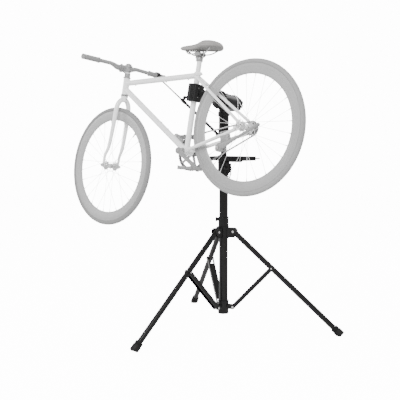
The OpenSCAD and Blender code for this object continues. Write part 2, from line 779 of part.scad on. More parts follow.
module tyre() wheel_axis() rotate_extrude($fn = round_fn) difference() {
  translate([wheel_r - tyre_r, 0]) circle(r = tyre_r);
  translate([wheel_r - tyre_r, 0]) circle(r = tyre_r - 2.2);
  translate([wheel_r - tyre_w - 1, -rim_half]) square([bead_r - wheel_r + tyre_w + 1, 2 * rim_half]);
}

module rim() wheel_axis() rotate_extrude($fn = round_fn) polygon([
  [rim_in + 2, -4], [rim_in, -1.5], [rim_in, 1.5], [rim_in + 2, 4],
  [bead_r - 16, rim_half], [bead_r, rim_half], [bead_r, rim_half - 2],
  [bead_r - 14, rim_half - 2], [rim_in + 6, 2.4], [rim_in + 6, -2.4],
  [bead_r - 14, 2 - rim_half], [bead_r, 2 - rim_half], [bead_r, -rim_half], [bead_r - 16, -rim_half]
]);

spoke_r = 1;
front_flange = 33;
rear_left = 34;
rear_right = -30;
flange_r = 21;
// a hub shell with its flanges at left and right
module hub_shell(left, right, seat_l, seat_r) difference() {
  union() {
    ycyl(right - 3, left + 3, 13);
    for (y = [left, right]) translate([0, y, 0]) ycyl(-2, 2, flange_r + 4);
    ycyl(left, seat_l, 15);
    ycyl(seat_r, right, 15);
  }
  ycyl(-90, 90, 5 + fit);
}

// crossed spokes from the flanges to the rim, joined by a thin ring on each flange
module laced(left, right) {
  for (s = [-1, 1]) translate([0, s > 0 ? left + 2 : right - 3.2, 0]) difference() {
    ycyl(0, 1.2, flange_r + 3);
    ycyl(-1, 3, flange_r - 3);
  }
  for (k = [0 : spokes - 1]) {
    y = k % 2 == 0 ? left + 2.6 : right - 2.6;
    lean = (floor(k / 2) % 2 == 0 ? 1 : -1) * 62;
    a = 360 / spokes * (k + 0.5);
    rod([flange_r * cos(a + lean), y, flange_r * sin(a + lean)],
        [(rim_in - 0.3) * cos(a), 0, (rim_in - 0.3) * sin(a)], spoke_r, $fn = 16);
  }
}

// a valve stem standing in from the rim
module valve(a) rotate([0, a, 0]) translate([0, 0, rim_in - 26]) cylinder(h = 29, r = 3.2);

module front_wheel_at() { steer_frame() translate(fork_hub) rotate([0, 90 - head_angle, 0]) children(); }
module front_tyre() color(faded_grey) front_wheel_at() tyre();
module front_rim() color("#bebebe") front_wheel_at() {
  rim();
  valve(-59);
}
module front_hub_shell() color("silver") front_wheel_at()
  hub_shell(front_flange, -front_flange, front_half - 6 - gap, -front_half + 6 + gap);
module front_spokes() color("silver") front_wheel_at() laced(front_flange, -front_flange);
module rear_tyre() color(faded_grey) bike() tyre();
module rear_rim() color("#b8b8b8") bike() {
  rim();
  valve(150);
}

cog_half = 1.2;
cog_seat_r = 17;
module rear_spokes() color("silver") bike() laced(rear_left, rear_right);
module rear_hub_shell() color("silver") bike() {
  hub_shell(rear_left, rear_right, rear_half - 6 - gap, -rear_half + 6 + gap);
  difference() {
    ycyl(-chain_y - 6, -30, cog_seat_r);
    ycyl(-90, 0, 5 + fit);
  }
}

module rear_axle() color("silver") bike() axle_set(rear_half);

// ---------- drive ----------
pitch = 12.7;
ring_r = pitch / (2 * sin(180 / ring_teeth));
cog_r = pitch / (2 * sin(180 / cog_teeth));
tooth_up = 3;
tooth_half = 1.1;

// toothed disc in the XZ plane, centred on the chain line
module toothed(teeth, r) {
  // root, tip, tip, root of one tooth, in parts of the pitch and in height
  tooth = [[0, -tooth_up - 1], [0.3, tooth_up], [0.45, tooth_up], [0.75, -tooth_up - 1]];
  rotate([90, 0, 0]) linear_extrude(height = 2 * tooth_half, center = true) polygon([
    for (k = [0 : teeth - 1], t = tooth) let (a = 360 / teeth * (k + t.x)) (r + t.y) * [cos(a), sin(a)]
  ]);
}

// closed path of the chain, grown or shrunk, around the sprocket and the chainring
module chain_path(grow) {
  d = [bb.x, bb.z];
  a = atan2(d.y, d.x);
  n = 90 + asin((ring_r - cog_r) / norm(d));
  polygon(concat(
    arc([0, 0], cog_r + grow, a + n, a + 360 - n, 36),
    arc(d, ring_r + grow, a - n, a + n, 72)
  ));
}

plate = 4;              // half the height of the chain's side plates
chain_half = 3.4;
plate_t = 1.5;
module chain() color(faded_grey) bike() translate([0, -chain_y, 0]) rotate([90, 0, 0])
  difference() {
    linear_extrude(height = 2 * chain_half, center = true) chain_path(plate + 0.4);
    linear_extrude(height = 20, center = true) chain_path(-plate);
    linear_extrude(height = 2 * (chain_half - plate_t), center = true) chain_path(tooth_up + 0.5);
  }

module sprocket() color(faded_grey) bike() translate([0, -chain_y, 0]) difference() {
  union() {
    toothed(cog_teeth, cog_r);
    ycyl(-5, 6, cog_seat_r + 8);
  }
  ycyl(-20, 20, cog_seat_r + fit);
}

spindle_half = 72;
bb_spindle_r = 8.5;
arm_in = 58;            // inner face of a crank arm
arm_t = 12;
pedal_axle_r = 4;
pedal_gap = 6;
pedal_w = 94;
// local +X along the left arm from the crank axle
module crank_frame() {
  bike() translate(bb) rotate([0, 90 + crank_turn, 0]) children();
}

module crank_outline() {
  circle(r = 17);
  translate([crank_l, 0]) circle(r = 12.5);
  polygon([[0, 15], [crank_l * 0.55, 11], [crank_l, 11.5], [crank_l, -11.5], [crank_l * 0.55, -11], [0, -15]]);
}

// an arm on the +Y side with the pedal's axle at its end
module crank_arm() {
  translate([0, arm_in, 0]) rotate([-90, 0, 0]) linear_extrude(height = arm_t) crank_outline();
  translate([crank_l, 0, 0]) ycyl(arm_in, arm_in + arm_t + pedal_gap + pedal_w - 6, pedal_axle_r);
  translate([crank_l, 0, 0]) ycyl(arm_in, arm_in + arm_t + pedal_gap - gap, 7);
  ycyl(arm_in + arm_t - touch, arm_in + arm_t + 3, 11);
}

module crank_left() color(faded_grey) crank_frame() difference() {
  crank_arm();
  ycyl(0, arm_in + arm_t - 3, bb_spindle_r);
}

module crankset() color(faded_grey) crank_frame() {
  rotate([0, 180, 0]) mirror([0, 1, 0]) crank_arm();
  ycyl(-arm_in - touch, arm_in + arm_t - 3, bb_spindle_r);
  translate([0, -chain_y, 0]) difference() {
    toothed(ring_teeth, ring_r);
    ycyl(-5, 5, ring_r - 15);
  }
  // five-armed spider between the arm and the ring
  for (k = [0 : 4]) rotate([0, 36 + 72 * k, 0]) {
    translate([14, -chain_y - 5, -8]) cube([ring_r - 26, 4, 16]);
    translate([ring_r - 13, -chain_y, 0]) ycyl(-5, 3, 8);
  }
  ycyl(-arm_in - touch, -chain_y + 2, 20);
}

// level platform around its axle, which runs along +Y from y = 0
module pedal_body() difference() {
  union() {
    ycyl(0, pedal_w, 9);
    for (s = [-1, 1]) translate([s * 42 - 3, 4, -10]) cube([6, pedal_w - 8, 20]);
    for (y = [4, pedal_w / 2 - 3, pedal_w - 10]) translate([-42, y, -8]) cube([84, 6, 16]);
    for (s = [-1, 1]) translate([s * 46 - 2, 18, -7]) cube([4, pedal_w - 36, 14]);
  }
  ycyl(-1, pedal_w + 1, pedal_axle_r + fit);
}

pedal_y = arm_in + arm_t + pedal_gap;
module pedal_left() color(faded_grey) crank_frame() translate([crank_l, pedal_y, 0])
  rotate([0, -90 - crank_turn - nose_down, 0]) pedal_body();
module pedal_right() color(faded_grey) crank_frame() translate([-crank_l, -pedal_y, 0])
  rotate([0, -90 - crank_turn - nose_down, 0]) mirror([0, 1, 0]) pedal_body();

// ---------- kickstand ----------
kick_pivot = [124, 73, -86];
kick_rise = 13.5;       // the folded leg rises towards the rear axle
stay_at = function (x) let (t = (x - 18) / (chainstay_x - 18))
  [x, rear_half + 2 + t * (22 - rear_half - 2), -13 + t * (13 - bb_drop)];
kick_bolt_r = 5;
module kickstand_mount() color(faded_grey) bike() {
  p = stay_at(96);
  difference() {
    union() {
      translate([p.x - 26, p.y - 12, p.z - 44]) cube([52, 18, 40]);
      translate([p.x - 20, p.y - 12, p.z + 7]) cube([40, 24, 5]);
      translate([p.x + 6, p.y - 12, kick_pivot.z - 14]) cube([40, 18, 44]);
    }
    rod(stay_at(18), stay_at(chainstay_x), chain_stay_r);
  }
  translate([p.x, p.y - 13.6, p.z - 20]) cylinder(h = 34, r = 4);
  translate([kick_pivot.x, 0, kick_pivot.z]) ycyl(p.y + 6 - touch, kick_pivot.y + 12, kick_bolt_r);
  translate([kick_pivot.x, 0, kick_pivot.z]) ycyl(kick_pivot.y + 11 + gap, kick_pivot.y + 15, 9);
}

module kickstand() color(faded_grey) bike() translate(kick_pivot) rotate([0, 180 + kick_rise, 0]) {
  difference() {
    union() {
      // pivot head around the bolt, its broad plate and the leg
      ycyl(-13, 11, 19);
      translate([-10, -9, -19]) cube([80, 18, 34]);
      rod([40, 0, 0], [kick_l - 12, 4, 0], 6.5);
    }
    ycyl(-40, 40, kick_bolt_r + fit);
  }
  rod([kick_l - 34, 3.5, 0], [kick_l, 4.1, 0], 9);
}

// ---------- handlebar stay ----------
mount_z = neck_z - 15;
stay_pivot = [-upper_r - 24, 0, mount_z + 6];
hook_on = 50;           // from the bar's tip to the middle of the hook
function steer_to_bike(p) =
  head_mid + turn(turn(p, [0, 0, 1], -steer_rest), [0, 1, 0], head_angle - 90);
function bike_to_world(p) =
  let (q = turn(p - clamp_at, [0, 1, 0], nose_down) + [0, arm_reach, 0])
  [0, 0, arm_z] + turn(turn(q, [1, 0, 0], arm_tilt), [0, 0, 1], 180);
function bar_point(p) = bike_to_world(steer_to_bike(bar_at + p));
grip_at = bar_point(side(bar_tip - hook_on * bar_out, -1));
grip_out = bar_point(side(bar_tip, -1));
bar_axis = (grip_out - grip_at) / norm(grip_out - grip_at);
hook_in = grip_r + 2.5;
hook_out = hook_in + 3.2;
// the hook opens forward, square to the bar
hook_open = cross(bar_axis, cross([-1, 0, 0.1], bar_axis)) / norm(cross([-1, 0, 0.1], bar_axis));
hook_side = cross(bar_axis, hook_open);
hook_base = grip_at - (hook_out + 10) * hook_open - [0, 0, 20];
stay_dir = (hook_base - stay_pivot) / norm(hook_base - stay_pivot);
sleeve_l = 352;
stay_l = norm(hook_base - stay_pivot);
stay_rod_r = 4.5;

// the stay's pin, along local Y, is parallel to the clamp arm
module stay_pin_frame() {
  translate(stay_pivot) rotate([-arm_tilt, 0, 0]) children();
}

// lug under the neck with the stay's pin across it
module stay_lug() {
  difference() {
    union() {
      translate([0, 0, mount_z - 8]) cylinder(h = neck_z - mount_z + 8 + touch, r = upper_r + 8);
      for (s = [-1, 1]) stay_pin_frame() translate([0, s > 0 ? 7 + gap : -12, 0]) {
        ycyl(0, 5 - gap, 9);
        translate([0, 0, -8]) cube([-stay_pivot.x - upper_r, 5 - gap, 16]);
      }
    }
    translate([0, 0, mount_z - 20]) cylinder(h = 60, r = upper_r);
  }
  stay_pin_frame() ycyl(-13, 13, 3);
}

// local +Z along the stay from its pivot
module stay_frame() {
  between(stay_pivot, hook_base) children();
}

module stay_sleeve() color(rubber_black) {
  difference() {
    union() {
      stay_frame() translate([0, 0, 14]) cylinder(h = sleeve_l - 14, r = 7.5);
      stay_frame() translate([0, 0, sleeve_l - 34]) cylinder(h = 34, r = 9.5);
      stay_pin_frame() ycyl(-7, 7, 9);
      stay_frame() cylinder(h = 16, r = 6.5);
      stay_knob_frame() cylinder(h = 14, r = 6);
    }
    stay_frame() translate([0, 0, 24]) cylinder(h = sleeve_l, r = stay_rod_r + fit);
    stay_pin_frame() ycyl(-30, 30, 3 + fit);
    stay_knob_frame() cylinder(h = 40, r = 3 + fit);
  }
}

// local +Z out of the thumb screw's boss
module stay_knob_frame() {
  stay_frame() translate([0, 0, sleeve_l - 16]) rotate([0, 90, 180]) children();
}

module stay_knob() color(rubber_black) stay_knob_frame() {
  translate([0, 0, stay_rod_r + gap]) cylinder(h = 24, r = 3);
  translate([0, 0, 14 + gap]) cylinder(h = 8, r = 8);
  translate([-2.5, -14, 20]) cube([5, 28, 14]);
}

module stay_rod() color("dimgray") {
  stay_frame() translate([0, 0, 70]) cylinder(h = stay_l - 70, r = stay_rod_r);
}

// local +X is the hook's open side, local +Z runs along the bar
module grip_frame() {
  multmatrix([
    [hook_open.x, hook_side.x, bar_axis.x, grip_at.x],
    [hook_open.y, hook_side.y, bar_axis.y, grip_at.y],
    [hook_open.z, hook_side.z, bar_axis.z, grip_at.z]
  ]) children();
}

// a fork around the back of the grip with a socket for the rod
module stay_hook() color(rubber_black) difference() {
  union() {
    grip_frame() {
      translate([0, 0, -11]) cylinder(h = 22, r = hook_out);
      translate([0, -hook_out, -11]) cube([11, 2 * hook_out, 22]);
      translate([-hook_out - 10, -7, -7]) cube([12, 14, 14]);
    }
    rod(hook_base - 26 * stay_dir, hook_base + 8 * stay_dir, 7);
    rod(hook_base, grip_at - (hook_out + 5) * hook_open, 6);
  }
  grip_frame() {
    translate([0, 0, -12]) cylinder(h = 24, r = hook_in);
    translate([0, -hook_in, -12]) cube([40, 2 * hook_in, 24]);
  }
  rod(stay_pivot, hook_base, stay_rod_r);
}

for (i = [1 : 3]) {
  leg(i);
  foot(i);
  brace(i);
}
mast_lower();
base_hub();
hub_pins();
collar();
collar_pins();
collar_knob();
mast_upper();
height_clamp();
height_lever();
tool_tray();
head_casting();
head_knob();
clamp_arm();
jaw_fixed();
jaw_moving();
jaw_latch();
stay_sleeve();
stay_rod();
stay_knob();
stay_hook();
head_tube();
top_tube();
down_tube();
seat_tube();
chainstays();
seatstays();
seatpost();
saddle_rails();
saddle();
fork();
front_axle();
stem();
handlebar();
grips();
front_tyre();
front_rim();
front_spokes();
front_hub_shell();  // front_hub
rear_axle();
rear_tyre();
rear_rim();
rear_spokes();
rear_hub_shell();  // rear_hub
crankset();
crank_left();
pedal_left();
pedal_right();
chain();
sprocket();
kickstand_mount();
kickstand();
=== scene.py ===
"""City bicycle held in the jaws of a folding repair stand: finishes, surfaces and studio."""
from __future__ import annotations

import json
import logging
import math
from dataclasses import dataclass, field, replace
from enum import Enum
from typing import Callable, Sequence

import bpy
import numpy as np
import numpy.typing as npt
from mathutils import Matrix, Vector

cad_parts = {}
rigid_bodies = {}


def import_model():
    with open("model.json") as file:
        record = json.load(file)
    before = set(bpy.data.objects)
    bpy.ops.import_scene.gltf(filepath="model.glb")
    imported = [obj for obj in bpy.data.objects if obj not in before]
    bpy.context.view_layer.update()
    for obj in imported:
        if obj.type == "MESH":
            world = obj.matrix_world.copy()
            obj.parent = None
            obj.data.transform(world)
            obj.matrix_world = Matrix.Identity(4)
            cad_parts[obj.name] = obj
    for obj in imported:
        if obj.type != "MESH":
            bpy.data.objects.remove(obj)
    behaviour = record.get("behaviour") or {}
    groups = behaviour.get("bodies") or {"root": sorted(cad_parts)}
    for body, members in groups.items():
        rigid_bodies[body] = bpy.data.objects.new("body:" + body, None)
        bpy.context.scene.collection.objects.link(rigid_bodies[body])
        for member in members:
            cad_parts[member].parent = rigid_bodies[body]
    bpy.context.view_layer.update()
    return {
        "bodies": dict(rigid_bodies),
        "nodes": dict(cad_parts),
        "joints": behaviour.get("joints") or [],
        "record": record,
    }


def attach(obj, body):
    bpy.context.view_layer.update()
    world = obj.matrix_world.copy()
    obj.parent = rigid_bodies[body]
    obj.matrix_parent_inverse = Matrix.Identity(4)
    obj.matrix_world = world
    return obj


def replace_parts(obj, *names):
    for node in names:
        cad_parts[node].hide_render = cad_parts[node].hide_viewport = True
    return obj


Array = npt.NDArray[np.float64]
Flute = Callable[[Array, Array], Array]
Socket = bpy.types.NodeSocket
log = logging.getLogger("bicycle_on_stand")
TAU = 2 * math.pi


# ---------------------------------------------------------------- places
def vec(*numbers: float) -> Array:
    """A float array of the numbers."""
    return np.array(numbers, float)


def unit(v: Array) -> Array:
    """Vectors scaled to length one along their last axis."""
    return v / np.linalg.norm(v, axis=-1, keepdims=True)


def turn(axis: str, degrees: float) -> Array:
    """Rotation matrix about one main axis by the right-hand rule.

    Args:
        axis: "x", "y" or "z".
        degrees: Angle of the turn.

    Returns:
        A 3 by 3 matrix.
    """
    return np.array(Matrix.Rotation(math.radians(degrees), 3, axis.upper()), float)


@dataclass(frozen=True)
class Place:
    """A local frame in millimetres: its origin and its axes as matrix columns."""

    origin: Array
    axes: Array

    def inner(self, offset: Array, axes: Array | None = None) -> Place:
        """A frame set inside this one.

        Args:
            offset: Origin of the new frame, in this frame.
            axes: Axes of the new frame, in this frame; unturned if left out.

        Returns:
            The new frame.
        """
        return Place(self.origin + self.axes @ offset, self.axes if axes is None else self.axes @ axes)

    def mm(self, points: Array) -> Array:
        """Local points in the object's frame, in millimetres."""
        return self.origin + points @ self.axes.T

    def out(self, points: Array) -> Array:
        """Local points in the object's frame, in metres."""
        return self.mm(points) / 1000


WORLD = Place(np.zeros(3), np.eye(3))


def shifted(x: float, y: float, z: float) -> Place:
    """A frame moved without a turn."""
    return Place(vec(x, y, z), np.eye(3))


def turned(axis: str, degrees: float) -> Place:
    """A frame turned about one main axis."""
    return Place(np.zeros(3), turn(axis, degrees))


def along(start: Array, end: Array, side: Array | None = None) -> Place:
    """A frame at start whose Z axis points to end.

    Args:
        start: Origin.
        end: A point on the Z axis.
        side: Rough direction of the X axis.

    Returns:
        The frame.
    """
    z = unit(end - start)
    hint = vec(0, 0, 1) if side is None else side
    if abs(z @ unit(hint)) > 0.99:
        hint = vec(1, 0, 0)
    x = unit(hint - z * (hint @ z))
    return Place(start, np.stack([x, np.cross(z, x), z], axis=1))


# ---------------------------------------------------------------- curves
def ring(n: int, phase: float = 0.0) -> Array:
    """n angles spread evenly round a circle, starting at phase."""
    return phase + np.arange(n) * TAU / n


def smooth_path(knots: Sequence[Sequence[float]], n: int) -> Array:
    """A smooth curve through knots.

    Each stretch is a cubic whose slope at a knot is half the step between the knot's neighbours.

    Args:
        knots: Points, or rows of any numbers, to pass through.
        n: Number of points on the curve.

    Returns:
        An array of n rows.
    """
    k = np.array(knots, float)
    m = np.gradient(k, axis=0)
    s = np.linspace(0, len(k) - 1, n)
    i = np.minimum(s.astype(int), len(k) - 2)
    t = (s - i)[:, None]
    return ((2 * t**3 - 3 * t**2 + 1) * k[i] + (t**3 - 2 * t**2 + t) * m[i]
            + (3 * t**2 - 2 * t**3) * k[i + 1] + (t**3 - t**2) * m[i + 1])


def rounded_outline(half_x: float, half_y: float, radius: float, n: int = 6) -> Array:
    """A rectangle with round corners, as quarter circles of n + 1 points about four centres."""
    a = np.linspace(0, math.pi / 2, n + 1)
    arcs = []
    for k, (sx, sy) in enumerate([(1, 1), (-1, 1), (-1, -1), (1, -1)]):
        c = vec(sx * (half_x - radius), sy * (half_y - radius))
        b = a + k * math.pi / 2
        arcs.append(c + radius * np.stack([np.cos(b), np.sin(b)], axis=1))
    return np.concatenate(arcs)


def carried(path: Array, closed: bool = False, up: Array | None = None) -> tuple[Array, Array]:
    """Two cross directions at each point of a path, carried along it without twist.

    The first is the hint less its part along the path, taken over from the point before.

    Args:
        path: Points of the path.
        closed: Whether the last point joins the first.
        up: Rough direction of the first cross direction.

    Returns:
        Two arrays of unit vectors.
    """
    if closed:
        tangent = unit(np.roll(path, -1, axis=0) - np.roll(path, 1, axis=0))
    else:
        tangent = unit(np.gradient(path, axis=0))
    hint = vec(0, 0, 1) if up is None else up
    if abs(tangent[0] @ unit(hint)) > 0.95:
        hint = vec(1, 0, 0.01)
    first = np.empty_like(path)
    for i, t in enumerate(tangent):
        hint = unit(hint - t * (hint @ t))
        first[i] = hint
    return first, np.cross(tangent, first)


# ---------------------------------------------------------------- flutes
def knurled(n: int, height: float, over: float = 0.0) -> Flute:
    """Ribs round a knob: the height times the cosine of n times the angle, past a radius."""
    return lambda r, a: r + height * np.cos(n * a) * (r > over)


def notched(n: int, depth: float, level: float, over: float) -> Flute:
    """Square notches, cut where the cosine of n times the angle passes a level."""
    return lambda r, a: r - depth * (np.cos(n * a) > level) * (r > over)


def scalloped(n: int, depth: float, level: float, power: float, over: float) -> Flute:
    """Round notches: the depth times a power of how far the cosine of n times the angle passes a level."""
    return lambda r, a: r - (r > over) * depth * np.clip((np.cos(n * a) - level) / (1 - level), 0, 1) ** power


def lobed(n: int, depth: float, over: float) -> Flute:
    """Broad lobes: the depth times the square of a wave between nought and one."""
    return lambda r, a: r - (r > over) * depth * (0.5 - 0.5 * np.cos(n * a)) ** 2


def hexagon(over: float, flat: float | None = None) -> Flute:
    """Six flats: the distance of a flat over the cosine of the angle from its middle.

    Args:
        over: Radius above which the flats are cut.
        flat: Distance of the flats from the axis; nine tenths of the radius if left out.

    Returns:
        The flute.
    """
    def flute(r: Array, a: Array) -> Array:
        """Radius with the flats cut."""
        reach = r * 0.9 if flat is None else flat
        return np.where(r > over, reach / np.cos((a + math.pi / 6) % (math.pi / 3) - math.pi / 6), r)
    return flute


def box_sections(wide: Array, deep: Array, corner: float, n: int = 4) -> Array:
    """One round-cornered box section per point of a path, of the given half sizes.

    Args:
        wide: Half size along the section's first axis, per point.
        deep: Half size along its second axis, per point.
        corner: Radius of the corners, as a share of the half size.
        n: Steps in a corner.

    Returns:
        Outlines, one per point.
    """
    return rounded_outline(1, 1, corner, n)[None] * np.stack([wide, deep], 1)[:, None]


# ---------------------------------------------------------------- surfaces
class Shell:
    """Gathers closed grids of points, in millimetres, and makes them one mesh."""

    def __init__(self, place: Place = WORLD) -> None:
        """Starts an empty shell in a frame."""
        self.place = place
        self.points: list[Array] = []
        self.faces: list[list[list[int]]] = []
        self.uvs: list[Array] = []
        self.count = 0

    def _take(self, points: Array, faces: Array, uv: Array) -> None:
        """Adds vertices, faces of one kind and their UVs."""
        self.points.append(points)
        self.faces.append((faces + self.count).tolist())
        self.uvs.append(uv.reshape(-1, 2))
        self.count += len(points)

    def grid(self, pts: Array, wrap: bool = False, place: Place | None = None) -> Shell:
        """Adds a surface that is closed round its second index.

        The ends of the first index join each other, or are closed by fans to their middle points.
        The whole is turned inside out if its signed volume is negative.

        Args:
            pts: Points, rows by columns by 3, in the shell's own frame.
            wrap: Whether the last row joins the first.
            place: Frame of the points inside the shell's frame.

        Returns:
            The shell itself.
        """
        if place is not None:
            pts = place.mm(pts)
        nu, nv = pts.shape[:2]
        iu = np.arange(nu if wrap else nu - 1)[:, None]
        jv = np.arange(nv)[None, :]
        here, there = iu * nv, ((iu + 1) % nu) * nv
        quads = np.stack(np.broadcast_arrays(here + jv, here + (jv + 1) % nv, there + (jv + 1) % nv,
                                             there + jv), -1)
        quads = quads.reshape(-1, 4)
        flat = pts.reshape(-1, 3)
        step_u = np.linalg.norm(np.diff(pts, axis=0, append=pts[:1]), axis=2).mean(1)
        step_v = np.linalg.norm(np.diff(pts, axis=1, append=pts[:, :1]), axis=2).mean()
        run = np.concatenate([[0], np.cumsum(step_u)]) / 1000
        u0, u1 = run[iu] + 0 * jv, run[iu + 1] + 0 * jv
        v0, v1 = jv * step_v / 1000 + 0 * iu, (jv + 1) * step_v / 1000 + 0 * iu
        uv = np.stack([np.stack([u0, v0], -1), np.stack([u0, v1], -1), np.stack([u1, v1], -1),
                       np.stack([u1, v0], -1)], -2)
        uv = uv.reshape(-1, 4, 2)
        a, b, c, d = (flat[quads[:, k]] for k in range(4))
        volume = (np.einsum("ij,ij->i", a, np.cross(b, c)) + np.einsum("ij,ij->i", a, np.cross(c, d))).sum()
        fans: list[tuple[Array, Array]] = []
        if not wrap:
            for row, back in ((0, True), (nu - 1, False)):
                rim = row * nv + np.arange(nv)
                middle = flat[rim].mean(0)
                nxt = np.roll(rim, -1)
                pair = (nxt, rim) if back else (rim, nxt)
                volume += np.einsum("ij,ij->i", flat[pair[0]], np.cross(flat[pair[1]], middle)).sum()
                fans.append((middle, np.stack(pair, 1)))
        if volume < 0:
            quads, uv = quads[:, ::-1], uv[:, ::-1]
        extra = np.array([f[0] for f in fans]).reshape(-1, 3)
        self._take(np.concatenate([flat, extra]), quads, uv)
        for k, (_, pair) in enumerate(fans):
            pair = pair if volume >= 0 else pair[:, ::-1]
            tri = np.concatenate([pair, np.full((len(pair), 1), len(flat) + k)], 1)
            self.faces.append((tri + self.count - len(flat) - len(extra)).tolist())
            self.uvs.append(np.zeros((len(tri) * 3, 2)))
        return self

    def tube(self, path: Array, radius: Array | float, sides: int = 24, closed: bool = False,
             profile: Array | None = None, up: Array | None = None, place: Place | None = None) -> Shell:
        """Carries a round or given section along a path.

        A point is the path's point plus the section's two coordinates along the carried directions.

        Args:
            path: Points of the path.
            radius: One radius or one per point; it scales the profile if there is one.
            sides: Sides of a round section.
            closed: Whether the path is a loop.
            profile: Section outline, n by 2, or one outline per point.
            up: Rough direction of the section's first axis.
            place: Frame of the path inside the shell's frame.

        Returns:
            The shell itself.
        """
        first, second = carried(path, closed, up)
        if profile is None:
            a = ring(sides)
            profile = np.stack([np.cos(a), np.sin(a)], axis=1)
        outline = np.broadcast_to(profile, (len(path),) + profile.shape[-2:])
        size = np.broadcast_to(np.asarray(radius, float), (len(path),))[:, None, None]
        pts = path[:, None] + size * (outline[..., :1] * first[:, None] + outline[..., 1:] * second[:, None])
        return self.grid(pts, closed, place)

    def lathe(self, profile: Sequence[Sequence[float]], sides: int = 48, place: Place | None = None,
              flute: Flute | None = None, loop: bool = False) -> Shell:
        """Turns a profile about the frame's Z axis.

        A point at angle a is (r cos a, r sin a, z), where r may be changed by the flute function of (r, a).

        Args:
            profile: Rows of radius and height, from one end to the other.
            sides: Points round the axis.
            place: Frame of the profile inside the shell's frame.
            flute: Gives the changed radius from radius and angle.
            loop: Whether the profile closes on itself, like a ring's section.

        Returns:
            The shell itself.
        """
        p = np.array(profile, float)
        a = ring(sides)
        r = p[:, :1] + 0 * a
        if flute is not None:
            r = flute(r, a[None, :] + 0 * r)
        pts = np.stack([r * np.cos(a), r * np.sin(a), p[:, 1:] + 0 * a], axis=2)
        return self.grid(pts, loop, place)

    def slab(self, outline: Array, thick: float, edge: float = 0.8, place: Place | None = None) -> Shell:
        """A flat plate with its outline in X and Y, centred on Z, with edges rounded in three steps.

        Each level is the outline drawn in towards its middle by the edge's quarter circle.

        Args:
            outline: Points of the outline.
            thick: Thickness.
            edge: Radius of the rounded edges.
            place: Frame of the plate inside the shell's frame.

        Returns:
            The shell itself.
        """
        middle = outline.mean(0)
        reach = np.linalg.norm(outline - middle, axis=1, keepdims=True)
        levels = []
        a = np.linspace(0, math.pi / 2, 4)
        steps = [(edge * (1 - np.sin(t)), -thick / 2 + edge * (1 - np.cos(t))) for t in a]
        steps += [(d, -z) for d, z in reversed(steps)]
        for inset, z in steps:
            flat = middle + (outline - middle) * (1 - inset / np.maximum(reach, 1e-6))
            levels.append(np.column_stack([flat, np.full(len(flat), z)]))
        return self.grid(np.array(levels), False, place)

    def block(self, half: Sequence[float], radius: float, place: Place | None = None) -> Shell:
        """A box with rounded upright corners and softened top and bottom edges."""
        return self.slab(rounded_outline(half[0], half[1], radius), 2 * half[2], min(radius, half[2]) * 0.45,
                         place)

    def rods(self, starts: Array, ends: Array, radius: float | Array, sides: int = 6) -> Shell:
        """Many straight rods, each from a start to an end.

        Args:
            starts: One start point per rod.
            ends: One end point per rod.
            radius: One radius, or one per rod and end as n by 2.
            sides: Sides of each rod.

        Returns:
            The shell itself.
        """
        r = np.broadcast_to(np.asarray(radius, float), (len(starts), 2))
        for s, e, q in zip(starts, ends, r):
            self.lathe([[q[0], 0], [q[1], float(np.linalg.norm(e - s))]], sides, along(s, e))
        return self

    def build(self, name: str, finish: Finish, body: str, sharp: float = 40.0) -> bpy.types.Object:
        """Makes the mesh object, dresses it and lets it ride on a body.

        Args:
            name: Name of the piece.
            finish: Its finish.
            body: Body it moves with.
            sharp: Angle in degrees above which an edge stays crisp.

        Returns:
            The new object.
        """
        mesh = bpy.data.meshes.new(name)
        faces = [f for group in self.faces for f in group]
        mesh.from_pydata(self.place.out(np.concatenate(self.points)).tolist(), [], faces)
        layer = mesh.uv_layers.new(name="surface")
        layer.data.foreach_set("uv", np.concatenate(self.uvs).ravel().astype(np.float32))
        mesh.polygons.foreach_set("use_smooth", np.ones(len(mesh.polygons), bool))
        mesh.set_sharp_from_angle(angle=math.radians(sharp))
        mesh.update()
        obj = bpy.data.objects.new(name, mesh)
        bpy.context.scene.collection.objects.link(obj)
        mesh.materials.append(finish.material())
        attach(obj, body)
        log.info("%s: %d faces on %s", name, len(faces), body)
        return obj


# ---------------------------------------------------------------- finishes
def feed(tree: bpy.types.NodeTree, source: Socket | float, goal: Socket) -> None:
    """Sets an input to a number, or links it to a socket."""
    if isinstance(source, (int, float)):
        goal.default_value = source
    else:
        tree.links.new(source, goal)


class Effect(Enum):
    """Shared surface effects, each a node group built once."""

    MOTTLE = "mottled_tone"
    GRAIN = "fine_grain"
    PEBBLE = "pebbled_skin"
    BRUSHED = "brushed_lines"
    RUBBED = "rubbed_edges"
    TREAD = "tyre_tread"


